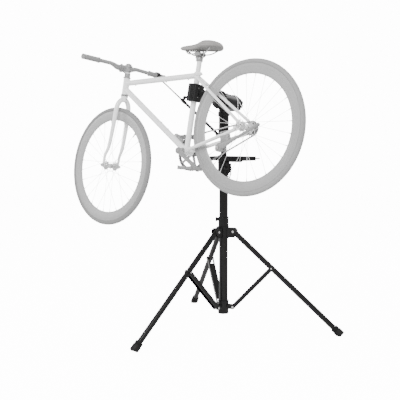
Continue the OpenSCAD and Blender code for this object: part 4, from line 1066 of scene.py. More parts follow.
# ---------------------------------------------------------------- bicycle frame
@dataclass
class FrameDetails:
    """Weld beads, head fittings and small hardware on the bicycle's frame."""

    bead: float = 1.9
    body: str = "clamp"

    def build(self) -> None:
        """Builds every detail of the frame."""
        self.make_welds()
        self.make_head()
        self.make_seat_binder()
        self.make_bosses()
        self.make_axle_nuts()

    def seam(self, start: Array, end: Array, r: float, base: Array, way: Array, base_r: float,
             n: int = 72) -> Array:
        """Curve where one tube's skin meets another's.

        A line of the first tube's skin at angle a is start + r (cos a, sin a) + t d, and t solves the
        quadratic for a distance base_r from the other tube's axis; the larger root is kept.

        Args:
            start: Point inside the other tube on the first tube's axis.
            end: Far point of the first tube's axis.
            r: First tube's radius.
            base: A point on the other tube's axis.
            way: Direction of the other tube's axis.
            base_r: The other tube's radius.
            n: Points on the curve.

        Returns:
            Points of the closed curve.
        """
        f = along(start, end)
        a = ring(n)
        p = f.mm(np.stack([r * np.cos(a), r * np.sin(a), 0 * a], 1))
        d, w = unit(end - start), unit(way)
        m = (p - base) - ((p - base) @ w)[:, None] * w
        q = d - (d @ w) * w
        b, c = m @ q / (q @ q), ((m * m).sum(1) - base_r**2) / (q @ q)
        t = -b + np.sqrt(np.maximum(b * b - c, 0))
        return p + t[:, None] * d

    def make_welds(self) -> None:
        """A bead follows each seam; its radius ripples along the run as the stacked pools of a weld do."""
        bb, top = AT.bracket, AT.seat_top
        hd, sd = AT.head_dir, AT.seat_dir
        top_rear, top_front = top - 14 * sd, AT.head_mid + 18 * hd
        down_front = AT.head_mid - 14 * hd
        y = vec(0, 1, 0)
        runs = [
            self.seam(top_front, top_rear, 15, AT.head_mid, hd, 18),
            self.seam(down_front, bb, 16, AT.head_mid, hd, 18),
            self.seam(top_rear, top_front, 15, top, sd, 15.2),
            self.seam(bb, down_front, 16, bb, y, 20),
            self.seam(bb, top, 15, bb, y, 20),
        ]
        for s in (-1, 1):
            low = bb + vec(0, s * 22, 0)
            runs.append(self.seam(low, vec(18, s * 62, -13), 9, bb, y, 20.1))
            runs.append(self.seam(top - 20 * sd + vec(0, s * 15, 0), vec(-4, s * 62, 14), 7.5, top, sd, 15))
        shell = Shell(AT.bike)
        for run in runs:
            arc = np.cumsum(np.linalg.norm(np.diff(run, axis=0, append=run[:1]), axis=1))
            k = round(arc[-1] / 3.4)
            shell.tube(run, self.bead * (1 + 0.12 * np.sin(arc / arc[-1] * TAU * k)), 8, True)
        shell.build("weld_beads", WHITE_PAINT, self.body, 80)

    def make_head(self) -> None:
        """A head tube flared at both ends between two headset cups."""
        h = 46.0
        t = np.linspace(-1, 1, 22)
        tube = [[18 + 1.1 * abs(s) ** 6, h * s] for s in t]
        frame = Place(AT.head_mid, turn("y", AT.head_angle - 90))
        white = Shell(AT.bike).lathe([[15.2, -h], *tube, [15.2, h]], 64, frame)
        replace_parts(white.build("head_tube_flared", WHITE_PAINT, self.body, 35), "head_tube")
        cups = Shell(AT.bike)
        for s in (-1, 1):
            cup = [[15, h], [19.5, h + 0.05], [21.8, h + 1.2], [22.2, h + 3.2], [21.6, h + 5.2],
                   [19.4, h + 6.6], [15.2, h + 6.9]]
            cups.lathe([[r, s * z] for r, z in cup], 64, frame)
        cups.build("headset_cups", GREY_ALLOY, self.body, 35)

    def make_seat_binder(self) -> None:
        """A band round the seat tube's top with two ears, a slot and a socket-head bolt."""
        sd = AT.seat_dir
        f = along(AT.seat_top - 13 * sd, AT.seat_top + 2 * sd, vec(-1, 0, 0))
        band = Shell(AT.bike).lathe([[15.2, -0.4], [17.4, 0], [18.1, 1.5], [18.1, 13], [17.4, 15],
                                     [15.3, 15.6]], 56, f)
        for s in (-1, 1):
            band.block((5, 3, 7), 2, f.inner(vec(19, s * 5, 7.6)))
        band.build("seat_binder", WHITE_PAINT, self.body)
        bolt = Shell(AT.bike)
        cross = f.inner(vec(20, 0, 7.6), SIDEWAYS)
        bolt.lathe([[2.4, -8], [2.4, 8.2], [4.2, 8.3], [4.4, 9], [4.4, 12], [3.6, 12.8], [2.2, 12.9],
                    [2.1, 10.5]], 24, cross)
        bolt.build("seat_binder_bolt", ZINC, self.body)

    def make_bosses(self) -> None:
        """Two bottle bosses with button bolts on the down tube and the frame's bracket cups."""
        hd = AT.head_dir
        start, end = AT.bracket, AT.head_mid - 14 * hd
        d = unit(end - start)
        up = unit(vec(0, 0, 1) - d * d[2])
        shell = Shell(AT.bike)
        for t in (190, 254):
            p = start + t * d + 15.6 * up
            shell.lathe([[4.6, -0.8], [4.4, 0.6], [4.0, 0.8], [3.8, 1.0], [3.8, 2.2], [3.0, 3.2], [1.6, 3.3],
                         [1.4, 2.2]], 20, along(p, p + up))
        shell.build("bottle_bosses", ZINC, self.body)
        cups = Shell(AT.bike.inner(AT.bracket))
        notch = notched(8, 0.9, 0.4, 17)
        for s in (-1, 1):
            cups.lathe([[9.2, s * 33], [18.6, s * 33.2], [18.8, s * 35.4], [17.8, s * 36], [9.4, s * 36.2]],
                       64, hub_frame(), notch)
        cups.build("bracket_cups", GREY_ALLOY, self.body)

    def make_axle_nuts(self) -> None:
        """Domed nuts with washers outside the rear fork ends and on the front axle."""
        for body, place, half in ((self.body, AT.bike, 65.0),
                                  ("steering", AT.steer.inner(AT.fork_hub), 55.0)):
            shell = Shell(place)
            for s in (-1, 1):
                rows = [[5, 0.2], [10.8, 0.3], [10.8, 1.7], [9.6, 1.8], [9.6, 9.5], [8.4, 11], [5.4, 12.6],
                        [5.2, 13]]
                shell.lathe([[r, s * (half + z)] for r, z in rows], 48, hub_frame(), hexagon(7))
            shell.build(f"{body}_axle_nuts", HUB_ALLOY, body, 30)


# ---------------------------------------------------------------- steering
@dataclass
class Cockpit:
    """Fork, stem, handlebar and grips, in the steering frame."""

    reach: float = 45.0
    rise: float = 50.0
    body: str = "steering"

    @property
    def bar(self) -> Array:
        """Middle of the bar in the steering frame."""
        return vec(self.reach, 0, 46 + 7 + self.rise)

    def build(self) -> None:
        """Builds the front end."""
        self.make_fork()
        self.make_stem()
        self.make_bar()
        self.make_grips()

    def make_fork(self) -> None:
        """Each blade is a tube on a smooth curve from crown to fork end, its radius falling along it."""
        crown = -46 - 7 - 0.4 - 22
        hub = AT.fork_hub
        shell = Shell(AT.steer)
        shell.lathe([[14.5, crown + 22.2], [19.6, crown + 22], [20.3, crown + 20], [20, crown + 13],
                     [18.4, crown + 10],
                     [18.2, crown - 2], [17, crown - 9], [12, crown - 13], [3, crown - 14]], 56)
        for s in (-1, 1):
            knots = [[0, 4, crown + 2, 13], [0.5, 15, crown - 2, 13.2], [1, 31, crown - 18, 13.4],
                     [2, 41.5, crown - 42, 13.4],
                     [2.5, 45.5, crown - 85, 12.6], [5, 47.5, crown - 160, 11.6],
                     [15, 50, (crown - 160 + hub[2]) / 2, 9.8], [hub[0] - 4, 52.6, hub[2] + 60, 8.0],
                     [hub[0], 53, hub[2] + 14, 7.2]]
            rows = smooth_path(knots, 90)
            shell.tube(mirrored(rows[:, :3], s), rows[:, 3], 32)
            end = np.array([[-7, 22], [-9, 6], [-12, 0], [-10.5, -6.5], [-5.2, -10.6], [-5.1, 0], [-3.6, 3.8],
                            [0, 5.1],
                            [3.6, 3.8], [5.1, 0], [5.2, -10.6], [10.5, -6.5], [12, 0], [9, 6], [7, 22]])
            at = Place(hub + vec(0, s * 52.5, 0), np.stack([vec(1, 0, 0), vec(0, 0, 1), vec(0, -1, 0)], 1))
            shell.slab(end, 5, 0.9, at)
        shell.lathe([[14.3, -46 - 7 - 0.4], [14.3, self.bar[2] + 17.5]], 40)
        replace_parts(shell.build("fork_blades", WHITE_PAINT, self.body, 45), "fork")
        race = Shell(AT.steer).lathe([[14.4, -53.5], [20.8, -53.6], [21.4, -54.6], [21.2, -56.4],
                                      [19.8, -57.2]], 56)
        race.lathe([[2.6, 0], [2.6, 44], [6.5, 44.2], [6.5, 47], [5, 48], [2.8, 48.1]], 24,
                   Place(vec(-25, 0, crown + 2), turn("y", 90)))
        race.build("crown_race", GREY_ALLOY, self.body)

    def make_stem(self) -> None:
        """A forged stem: spacers, a clamp with two bolts, a tapered body and a four-bolt faceplate."""
        z = self.bar[2]
        shell = Shell(AT.steer)
        for low, high in ((53.6, 63.2), (63.8, 73.4)):
            shell.lathe([[14.4, low], [16.4, low + 0.1], [17, low + 0.9], [17, high - 0.9],
                         [16.4, high - 0.1], [14.4, high]], 48)
        shell.lathe([[14.4, z - 24], [16, z - 23.8], [17.2, z - 22], [17.6, z], [17.2, z + 19],
                     [16, z + 20.6], [14.2, z + 21]], 48)
        shell.lathe([[2.6, z + 20], [15.6, z + 21.2], [16.4, z + 22.6], [16, z + 24.4], [13, z + 25.6],
                     [6.2, z + 25.9], [5.8, z + 27.6],
                     [4.6, z + 28.2], [3.0, z + 28.2], [2.9, z + 25]], 40)
        x = np.linspace(2, self.reach - 3, 14)
        path = np.stack([x, 0 * x, z + 0 * x], 1)
        pinch = np.sin(math.pi * (x - 2) / (self.reach - 5))
        shell.tube(path, 1.0, profile=box_sections(15 - 1.5 * pinch, 15.5 - 2.2 * pinch, 0.62, 5),
                   up=vec(0, 1, 0))
        f = self.bar
        h = 22.6
        shell.lathe([[16, -h], [19.4, -h + 0.2], [20.8, -h + 1.8], [20.8, h - 1.8], [19.4, h - 0.2], [16, h]],
                    56,
                    hub_frame(f))
        for dz in (-1, 1):
            for dy in (-1, 1):
                shell.lathe([[5.2, -9], [5.6, -7], [5.6, 1.6], [5, 2.4], [3.4, 2.5]], 24,
                            Place(f + vec(3, dy * 16, dz * 18.6), turn("y", 90)))
        shell.block((4.4, 12, 4.4), 2, shifted(-18, 0, z + 11))
        shell.block((4.4, 12, 4.4), 2, shifted(-18, 0, z - 11))
        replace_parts(shell.build("stem_forging", GREY_ALLOY, self.body, 35), "stem")
        bolts = Shell(AT.steer)
        head = [[2.0, -2], [2.5, 5.6], [4.1, 5.7], [4.2, 8.8], [3.6, 9.4], [2.2, 9.4], [2.1, 7.4]]
        for dz in (-1, 1):
            for dy in (-1, 1):
                bolts.lathe(head, 20, Place(f + vec(0, dy * 16, dz * 18.6), turn("y", 90)))
            bolts.lathe([[2.4, -12.4], [2.4, 12.2], [3.9, 12.3], [3.9, 14.6], [3.2, 15], [2, 15],
                         [1.9, 13.6]], 20,
                        hub_frame((-19, 0, z + 11 * dz)))
        bolts.build("stem_bolts", ZINC, self.body)

    def bar_curve(self, n: int = 150) -> Array:
        """Points and radius of the bar from its right tip to its left one."""
        half = [[-20, 300, 6, 11.1], [-13.7, 208, 8.2, 11.1], [-5.5, 120, 11.2, 11.2], [-2.6, 92, 11.4, 11.8],
                [-1.0, 68, 6.6, 13.6], [-0.2, 48, 1.2, 15.6], [0, 26, 0, 15.9], [0, 0, 0, 15.9]]
        knots = [[x, -y, z, r] for x, y, z, r in half] + half[::-1][1:]
        return smooth_path(knots, n)

    def make_bar(self) -> None:
        """A tube on the bar's smooth rise, thick in the clamp and thinner at the hands."""
        rows = self.bar_curve()
        shell = Shell(AT.steer.inner(self.bar)).tube(rows[:, :3], rows[:, 3], 32, up=vec(1, 0, 0))
        for s in (-1, 1):
            for y in (26.0, 27.6):
                shell.lathe([[15.9, s * y], [16.15, s * (y + 0.3)], [15.9, s * (y + 0.6)]], 40, hub_frame())
        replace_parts(shell.build("handlebar_tube", GREY_ALLOY, self.body, 50), "handlebar")

    def make_grips(self) -> None:
        """The radius carries fine rings along the hold, a palm swell, an inner flange and a closed end."""
        tip, knee = vec(-20, 300, 6), vec(-3, 92, 12)
        d = unit(tip - knee)
        shell = Shell(AT.steer.inner(self.bar))
        t = np.linspace(0, 1, 150)
        run = -116 + 121 * t
        swell = 14.1 + 0.55 * np.sin(math.pi
                                     * t) ** 2 + 0.42 * np.sign(np.sin(t * TAU * 19)) * (t > 0.1) * (t < 0.93)
        swell = np.where(t < 0.06, 16.4, np.where(t > 0.965, 15.8, swell))
        swell = np.where(t < 0.008, 14.4, np.where(t > 0.992, 14.0, swell))
        for s in (-1, 1):
            shell.tube(mirrored(tip + run[:, None] * d, s), swell, 48, up=vec(1, 0, 0))
        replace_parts(shell.build("ribbed_grips", GREY_RUBBER, self.body, 50), "grips")


# ---------------------------------------------------------------- seat
@dataclass
class Seat:
    """Padded saddle on its rails and clamp, in the saddle's frame."""

    tail: float = -128.0
    length: float = 270.0
    body: str = "seat"

    def build(self) -> None:
        """Builds the seat."""
        self.make_cover()
        self.make_base()
        self.make_rails()
        self.make_clamp()

    def outline(self, t: Array) -> tuple[Array, Array, Array]:
        """Half width, top height and lower edge height along the saddle.

        Args:
            t: Shares of the length from the tail.

        Returns:
            Three arrays.
        """
        knots = [[0.0, 0, 66, 60], [0.02, 30, 75, 55], [0.07, 55, 84, 49], [0.16, 71, 88.5, 45],
                 [0.27, 74, 88, 44.5],
                 [0.38, 60, 83.5, 44.5], [0.5, 39, 78.5, 45], [0.63, 27, 75.5, 45.5], [0.78, 22, 74.6, 46],
                 [0.88, 18.5, 73, 48.5],
                 [0.94, 15, 71, 51], [0.975, 11, 69, 54], [0.99, 7, 66.5, 57], [1.0, 1.5, 62.8, 60.6]]
        k = np.array(knots)
        return tuple(np.interp(t, k[:, 0], k[:, i]) for i in (1, 2, 3))

    def sections(self, nu: int, nv: int, shrink: float, drop: float) -> Array:
        """Grid over the saddle: each section is a crowned superellipse with a shallow channel on top.

        Args:
            nu: Sections along the length.
            nv: Points round a section.
            shrink: Amount the skin is drawn in.
            drop: Amount the top is lowered.

        Returns:
            Points, nu by nv by 3.
        """
        raw = 0.5 - 0.5 * np.cos(np.linspace(0.02, math.pi - 0.02, nu))
        w, top, low = (np.convolve(np.pad(q, 3, "edge"), np.ones(7) / 7, "valid") for q in self.outline(raw))
        a = ring(nv)
        c, s = np.cos(a), np.sin(a)
        y = np.sign(c) * np.abs(c) ** 0.75 * np.maximum(w[:, None] - shrink, 0.6)
        up = np.maximum(s, 0) ** 0.8
        down = np.maximum(-s, 0) ** 0.55
        edge = (low + 10 * (top - low) / 40)[:, None]
        z = edge + up * np.maximum(top[:, None] - edge - drop, 0.5) - down * (edge - low[:, None]) * 0.9
        channel = 3.2 * np.exp(-((y / 9) ** 2)) * np.exp(-(((raw[:, None] - 0.42) / 0.24) ** 4)) * (s > 0.2)
        x = self.tail + self.length * raw[:, None] + 0 * y
        return np.stack([x, y, z - channel], 2)

    def make_cover(self) -> None:
        """The padded cover, its stitched edge and two seams over the top."""
        pts = self.sections(110, 84, 0.6, 0)
        cover = Shell(AT.saddle).grid(pts).build("saddle_cover", SADDLE_SKIN, self.body, 75)
        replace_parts(cover, "saddle")
        edge = np.concatenate([pts[3:-3, 1], pts[3:-3, 41][::-1]])
        piping = Shell(AT.saddle).tube(edge + vec(0, 0, 1.0), 1.5, 10, True)
        for j in (12, 30):
            seam = pts[14:-10, j]
            lift = unit(seam * vec(0, 1, 1) - vec(0, 0, 55)) * 0.25
            dash = 0.55 + 0.3 * np.sign(np.sin(np.arange(len(seam)) * 2.4))
            piping.tube(seam + lift, dash, 6)
        piping.build("saddle_piping", THREAD, self.body, 80)

    def make_base(self) -> None:
        """The moulded base closes the underside, with two stiffening ribs under it."""
        pts = self.sections(70, 48, 7, 30) + vec(0, 0, -1.2)
        base = Shell(AT.saddle).grid(pts)
        for y in (-14, 14):
            rib = smooth_path([[-88, 1.9 * y, 44.5], [-20, 1.3 * y, 43.2], [40, y * 0.9, 43],
                               [96, y * 0.6, 43.4]], 24)
            base.tube(rib, 2.2, 10)
        base.build("saddle_base", SADDLE_BASE, self.body, 60)

    def make_rails(self) -> None:
        """Two bent steel rails, each a round rod on one smooth curve from nose to tail."""
        shell = Shell(AT.saddle)
        for s in (-1, 1):
            knots = [[100, 7, 48], [92, 11, 43], [74, 18, 31], [60, 21.4, 25.5], [44, 22, 24], [-36, 22, 24],
                     [-52, 22.8, 25.4],
                     [-66, 27, 31], [-86, 34, 42], [-94, 37, 48]]
            shell.tube(mirrored(smooth_path(knots, 70), s), 3.5, 16)
        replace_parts(shell.build("saddle_rail_pair", RAIL_STEEL, self.body, 60), "saddle_rails")

    def make_clamp(self) -> None:
        """A two-bolt rail clamp: a lower cradle, an upper plate, bolts and the post's head."""
        shell = Shell(AT.saddle)
        shell.lathe([[12, -14], [17.6, -13.6], [18.4, -12], [18.2, 2], [16.5, 8], [13.5, 12]], 48,
                    shifted(2, 0, 0))
        shell.block((18, 27, 4.2), 5, shifted(2, 0, 17.5))
        shell.block((15, 28, 3), 5, shifted(2, 0, 29.2))
        for s in (-1, 1):
            shell.tube(vec(2, s * 22, 24) + np.linspace(-18, 18, 8)[:, None] * vec(1, 0, 0), 6.0, 24)
        shell.build("saddle_clamp", GREY_ALLOY, self.body, 40)
        bolts = Shell(AT.saddle)
        for x in (-20, 24):
            bolts.lathe([[3, -2], [3, 32], [5.2, 32.2], [5.2, 35], [4, 36], [2.4, 36]], 20, shifted(x, 0, 0))
            bolts.lathe([[6, 6], [6.4, 7], [6.4, 12], [6, 13]], 24, shifted(x, 0, 0), knurled(14, 0.25))
        bolts.build("saddle_clamp_bolts", ZINC, self.body)


# ---------------------------------------------------------------- drive
@dataclass
class Drive:
    """Chain, toothed rings, cranks and pedals."""

    ring_teeth: int = 46
    cog_teeth: int = 18
    pitch: float = 12.7
    line: float = -45.0
    arm_in: float = 58.0
    arm_thick: float = 12.0
    arm_length: float = 170.0
    plate_r: float = 4.05
    plate_waist: float = 2.9

    @property
    def ring_r(self) -> float:
        """Pitch radius of the chainring."""
        return self.pitch / (2 * math.sin(math.pi / self.ring_teeth))

    @property
    def cog_r(self) -> float:
        """Pitch radius of the sprocket."""
        return self.pitch / (2 * math.sin(math.pi / self.cog_teeth))

    def build(self) -> None:
        """Builds the drive."""
        self.make_chain()
        self.make_sprocket()
        self.make_ring()
        self.make_cranks()
        for side in (1, -1):
            self.make_pedal(side)

    def run(self) -> tuple[Array, Array]:
        """Pins of the chain and its directions, in X and Z about the rear axle.

        The loop is two arcs joined by their common tangents, cut into equal steps.

        Returns:
            Pin points and unit directions, each n by 2.
        """
        d = AT.bracket[[0, 2]]
        base = math.atan2(d[1], d[0])
        lean = math.pi / 2 + math.asin((self.ring_r - self.cog_r) / np.linalg.norm(d))
        a = np.linspace(base + lean, base + TAU - lean, 200)
        b = np.linspace(base - lean, base + lean, 400)
        loop = np.concatenate([self.cog_r * np.stack([np.cos(a), np.sin(a)], 1),
                               d + self.ring_r * np.stack([np.cos(b), np.sin(b)], 1)])
        loop = np.concatenate([loop, loop[:1]])
        arc = np.concatenate([[0], np.cumsum(np.linalg.norm(np.diff(loop, axis=0), axis=1))])
        n = 2 * round(arc[-1] / self.pitch / 2)
        at = np.arange(n + 1) * arc[-1] / n
        pins = np.stack([np.interp(at, arc, loop[:, k]) for k in (0, 1)], 1)
        return pins[:-1], unit(np.diff(pins, axis=0))

    def make_chain(self) -> None:
        """Every second link has its waisted side plates outside; rollers and pin heads sit at each joint."""
        pins, way = self.run()
        plates, rollers = Shell(AT.bike), Shell(AT.bike)
        step = np.linalg.norm(pins[1] - pins[0])
        a = np.linspace(-2.3, 2.3, 9)
        end = np.stack([step / 2 + self.plate_r * np.cos(a), self.plate_r * np.sin(a)], 1)
        outline = np.concatenate([end, [[0, self.plate_waist]], -end, [[0, -self.plate_waist]]])
        for k, (p, w) in enumerate(zip(pins, way)):
            mid = vec(p[0] + w[0] * step / 2, self.line, p[1] + w[1] * step / 2)
            axes = np.stack([vec(w[0], 0, w[1]), vec(-w[1], 0, w[0]), vec(0, -1, 0)], 1)
            for s in (-1, 1):
                off = (2.75 if k % 2 else 1.75) * s
                plates.slab(outline, 0.95, 0.25, Place(mid + vec(0, off, 0), axes))
            joint = hub_frame((p[0], self.line, p[1]))
            rollers.lathe([[2.4, -1.3], [3.8, -1.2], [3.8, 1.2], [2.4, 1.3]], 14, joint)
            rollers.lathe([[0.6, -3.5], [1.5, -3.4], [1.7, -3.0], [1.7, 3.0], [1.5, 3.4], [0.6, 3.5]], 10,
                          joint)
        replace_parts(plates.build("chain_plates", CHAIN_STEEL, "clamp", 50), "chain")
        rollers.build("chain_rollers", DARK_STEEL, "clamp", 50)

    def toothed(self, shell: Shell, teeth: int, pitch_r: float, inner: float, place: Place) -> None:
        """Adds a toothed ring: past the root the radius swings between valley and tip once per tooth."""
        def flute(r: Array, a: Array) -> Array:
            """Radius with the teeth raised."""
            wave = np.cos(teeth * a)
            return r + (r > pitch_r - 5) * (-3.6 + 6.4 * np.clip(0.5 + 0.9 * wave, 0, 1))
        rows = [[inner, -1.0], [inner, 1.0], [pitch_r - 8, 1.1], [pitch_r - 5.5, 1.1], [pitch_r, 0.75],
                [pitch_r, -0.75],
                [pitch_r - 5.5, -1.1], [pitch_r - 8, -1.1]]
        shell.lathe(rows, teeth * 12, place, flute, True)

    def make_sprocket(self) -> None:
        """A single freewheel: toothed ring, stepped body with notches and a lock ring."""
        shell = Shell(AT.bike)
        at = hub_frame((0, self.line, 0))
        self.toothed(shell, self.cog_teeth, self.cog_r, 23, at)
        notch = notched(4, 1.6, 0.86, 18)
        shell.lathe([[15.3, -4.6], [21, -4.6], [23.2, -3.8], [23.6, 0], [23.6, 4.6], [22.4, 5.6],
                     [15.3, 5.8]], 72, at, notch)
        shell.lathe([[15.4, -6.4], [19, -6.2], [19.6, -4.7], [15.4, -4.5]], 48, at)
        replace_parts(shell.build("freewheel", CHAIN_STEEL, "sprocket", 35), "sprocket")

    def make_ring(self) -> None:
        """The chainring on a five-armed tapered spider with button bolts."""
        place = AT.crank
        ring_shell = Shell(place)
        self.toothed(ring_shell, self.ring_teeth, self.ring_r, self.ring_r - 14.5,
                     hub_frame((0, self.line, 0)))
        ring_shell.build("chainring", DARK_STEEL, "cranks", 35)
        spider, bolts = Shell(place), Shell(place)
        for k in range(5):
            out = turned("y", 36 + 72 * k)
            x = np.linspace(10, self.ring_r - 12, 12)
            t = (x - 10) / (self.ring_r - 22)
            size = box_sections(9.5 - 3.6 * t + 2.2 * np.clip(t - 0.86, 0, 1) / 0.14, 3.2 - 1.1 * t, 0.55)
            path = np.stack([x, self.line - 5.2 + 1.6 * t, 0 * x], 1)
            spider.tube(path, 1.0, profile=size, up=vec(0, 0, 1), place=out)
            post = out.inner(vec(self.ring_r - 13, self.line, 0), SIDEWAYS)
            bolts.lathe([[2.2, -5.6], [4.6, -5.4], [5.2, -4.6], [5.2, 2.6], [4.6, 3.4], [2.4, 3.6]], 24, post)
        spider.lathe([[9, -50], [19, -49.4], [20.4, -47], [20, -44.4], [9, -43.6]], 56, hub_frame())
        spider.build("crank_spider", GREY_ALLOY, "cranks", 35)
        bolts.build("chainring_bolts", ZINC, "cranks", 35)

    def make_cranks(self) -> None:
        """Each arm's half width follows its round ends and a waist; a groove is pressed into its outer face."""
        x = np.concatenate([-16.8 * np.cos(np.linspace(0, 1.2, 9)), np.linspace(0, self.arm_length, 26),
                            self.arm_length + 12.3 * np.sin(np.linspace(0.35, 1.56, 8))])
        boss = np.sqrt(np.maximum(17**2 - x**2, 1))
        tip = np.sqrt(np.maximum(12.4**2 - (x - self.arm_length) ** 2, 1))
        waist = np.interp(x, [0, 22, 90, self.arm_length],
                          [15, 12.6, 10.4, 11.0]) * (x > 0) * (x < self.arm_length)
        half = np.maximum(np.maximum(boss, tip), waist)
        mid = self.arm_in + self.arm_thick / 2
        thick = np.interp(x, [-17, 0, 30, 150, 170, 183], [6, 6, 5.2, 4.8, 5.9, 5.6])
        dent = 1.5 * np.clip(np.minimum((x - 24) / 10, (150 - x) / 10), 0, 1)
        for name, axes, node in (("left", np.eye(3), "crank_left"),
                                 ("right", turn("y", 180) @ np.diag([1.0, -1.0, 1.0]), "crankset")):
            place = Place(AT.crank.origin, AT.crank.axes @ axes)
            rows = []
            for xi, h, t, g in zip(x, half, thick, dent):
                y = vec(t, t, t - 0.4 * g, t - g, t - g, t - 0.4 * g, t, t, t - 1.6, -t + 1.6, -t, -t, -t, -t,
                        -t + 1.6, t - 1.6)
                z = vec(-h + 1.6, -0.62 * h, -0.48 * h, -0.34 * h, 0.34 * h, 0.48 * h, 0.62 * h, h - 1.6, h,
                        h, h - 1.6, 0.4 * h, -0.4 * h,
                        -h + 1.6, -h, -h)
                rows.append(np.stack([np.full(16, xi), mid + y, z], 1))
            arm = Shell(place).grid(np.array(rows))
            out = self.arm_in + self.arm_thick
            arm.lathe([[8, out - 1], [10.8, out - 0.4], [11, out + 1.8], [10, out + 2.8], [6.4, out + 3],
                       [6, out + 2.2], [1, out + 2.2]], 40, hub_frame())
            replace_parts(arm.build(f"crank_arm_{name}", GREY_ALLOY, "cranks", 32), node)
            axle = Shell(place)
            at = hub_frame((self.arm_length, 0, 0))
            axle.lathe([[4, out + 0.2], [6.9, out + 0.3], [6.9, out + 5.2], [4.0, out + 5.4],
                        [3.9, out + 92]], 36, at, hexagon(6.6, 6.51))
            axle.lathe([[2.2, self.arm_in - 0.4], [5.2, self.arm_in - 0.5], [5.6, self.arm_in + 0.6],
                        [2.4, self.arm_in + 1]], 24, at)
            axle.build(f"pedal_axle_{name}", ZINC, "cranks", 35)
        spindle = Shell(AT.crank).lathe([[8.4, -57.6], [8.4, 57.6]], 36, hub_frame())
        spindle.build("crank_spindle", ZINC, "cranks", 35)

    def make_pedal(self, side: int) -> None:
        """A platform cage of rounded bars, a bearing body, stud pins and end plates."""
        offset = vec(side * self.arm_length, side * 76, 0)
        axes = turn("y", -90 - AT.crank_turn - AT.nose_down) @ np.diag([1.0, float(side), 1.0])
        place = AT.crank.inner(offset, axes)
        name = "left" if side > 0 else "right"
        cage = Shell(place)
        for s in (-1, 1):
            path = np.stack([np.full(24, s * 42.0), np.linspace(3.8, 90.2, 24), np.zeros(24)], 1)
            wave = 9.6 - 1.7 * np.sin(np.linspace(0, math.pi, 24)) ** 2
            cage.tube(path, 1.0, profile=box_sections(wave, np.full(24, 3.0), 0.5), up=vec(0, 0, 1))
            cage.block((2.2, 26, 6.6), 2, place=shifted(s * 45.6, 47, 0))
        for y in (7.0, 47.0, 87.0):
            x = np.linspace(-42, 42, 25)
            tall = 6.4 + 1.5 * (np.abs(x) / 42) ** 3
            path = np.stack([x, np.full(25, y), 0 * x], 1)
            cage.tube(path, 1.0, profile=box_sections(tall, np.full(25, 2.9), 0.5), up=vec(0, 0, 1))
        for sx in (-1, 1):
            for y0, y1 in ((8, 46), (86, 48)):
                cage.tube(np.linspace(vec(sx * 10, y0, 0), vec(sx * 40, y1, 0), 6), 2.3, 10)
        cage.lathe([[4.1, 0.2], [8.0, 0.4], [9.2, 3], [8.8, 12], [7.4, 20], [7.0, 47], [7.4, 74], [8.8, 84],
                    [9.2, 91], [8.2, 93.4], [4.5, 93.8], [1, 93.9]],
                   40, hub_frame())
        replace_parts(cage.build(f"pedal_cage_{name}", GREY_PLASTIC, f"pedal_{name}", 35), f"pedal_{name}")
        pins = Shell(place)
        for sx in (-1, 1):
            for y in (10, 30, 64, 84):
                for s in (-1, 1):
                    base = vec(sx * 42, y, s * 7.2)
                    pins.lathe([[1.6, 0], [1.6, 2.9], [1.1, 3.3], [0.5, 3.3]], 10,
                               along(base, base + vec(0, 0, s)))
        pins.build(f"pedal_pins_{name}", ZINC, f"pedal_{name}", 40)


@dataclass
class Kickstand:
    """The folded side stand on the left chainstay."""

    rise: float = 13.5
    length: float = 262.0

    def build(self) -> None:
        """Builds the leg, its spring plate, foot and bolts."""
        pivot = vec(124, 73, -86)
        leg = AT.bike.inner(pivot, turn("y", 180 + self.rise))
        shell = Shell(leg)
        shell.lathe([[5.1, -13], [16.8, -12.8], [18.8, -11], [19, 0], [18.8, 8.8], [17, 10.8], [5.1, 11]], 56,
                    hub_frame())
        x = np.linspace(-4, self.length - 14, 60)
        tall = np.interp(x, [-4, 14, 40, 78, 110, 248], [16, 15.5, 13.5, 8.6, 6.8, 6.2])
        deep = np.interp(x, [-4, 14, 40, 78, 110, 248], [8.6, 8.6, 8.2, 7.2, 6.6, 6.1])
        path = np.stack([x, 4 * np.clip((x - 60) / 190, 0, 1), -2 * np.clip((70 - x) / 60, 0, 1)], 1)
        shell.tube(path, 1.0, profile=box_sections(tall, deep, 0.9, 6), up=vec(0, 0, 1))
        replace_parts(shell.build("kickstand_leg", GREY_ALLOY, "kickstand", 40), "kickstand")
        foot = Shell(leg)
        t = np.linspace(0, 1, 30)
        size = 8.6 + 0.4 * np.sign(np.sin(t * TAU * 5)) * (t > 0.2) * (t < 0.9)
        size[0] = size[-1] = 6.8
        foot.tube(vec(self.length - 36, 3.5, 0) + t[:, None] * vec(36, 0.6, 0), size, 28)
        foot.build("kickstand_foot", GREY_RUBBER, "kickstand", 50)
        bolt = Shell(AT.bike)
        bolt.lathe([[2, 11.6], [9.4, 11.7], [9.4, 15.4], [7.6, 16.4], [3, 16.5], [2.6, 15.4]], 36,
                   hub_frame(pivot), hexagon(8, 8.2))
        bolt.build("kickstand_pivot_bolt", ZINC, "clamp", 35)


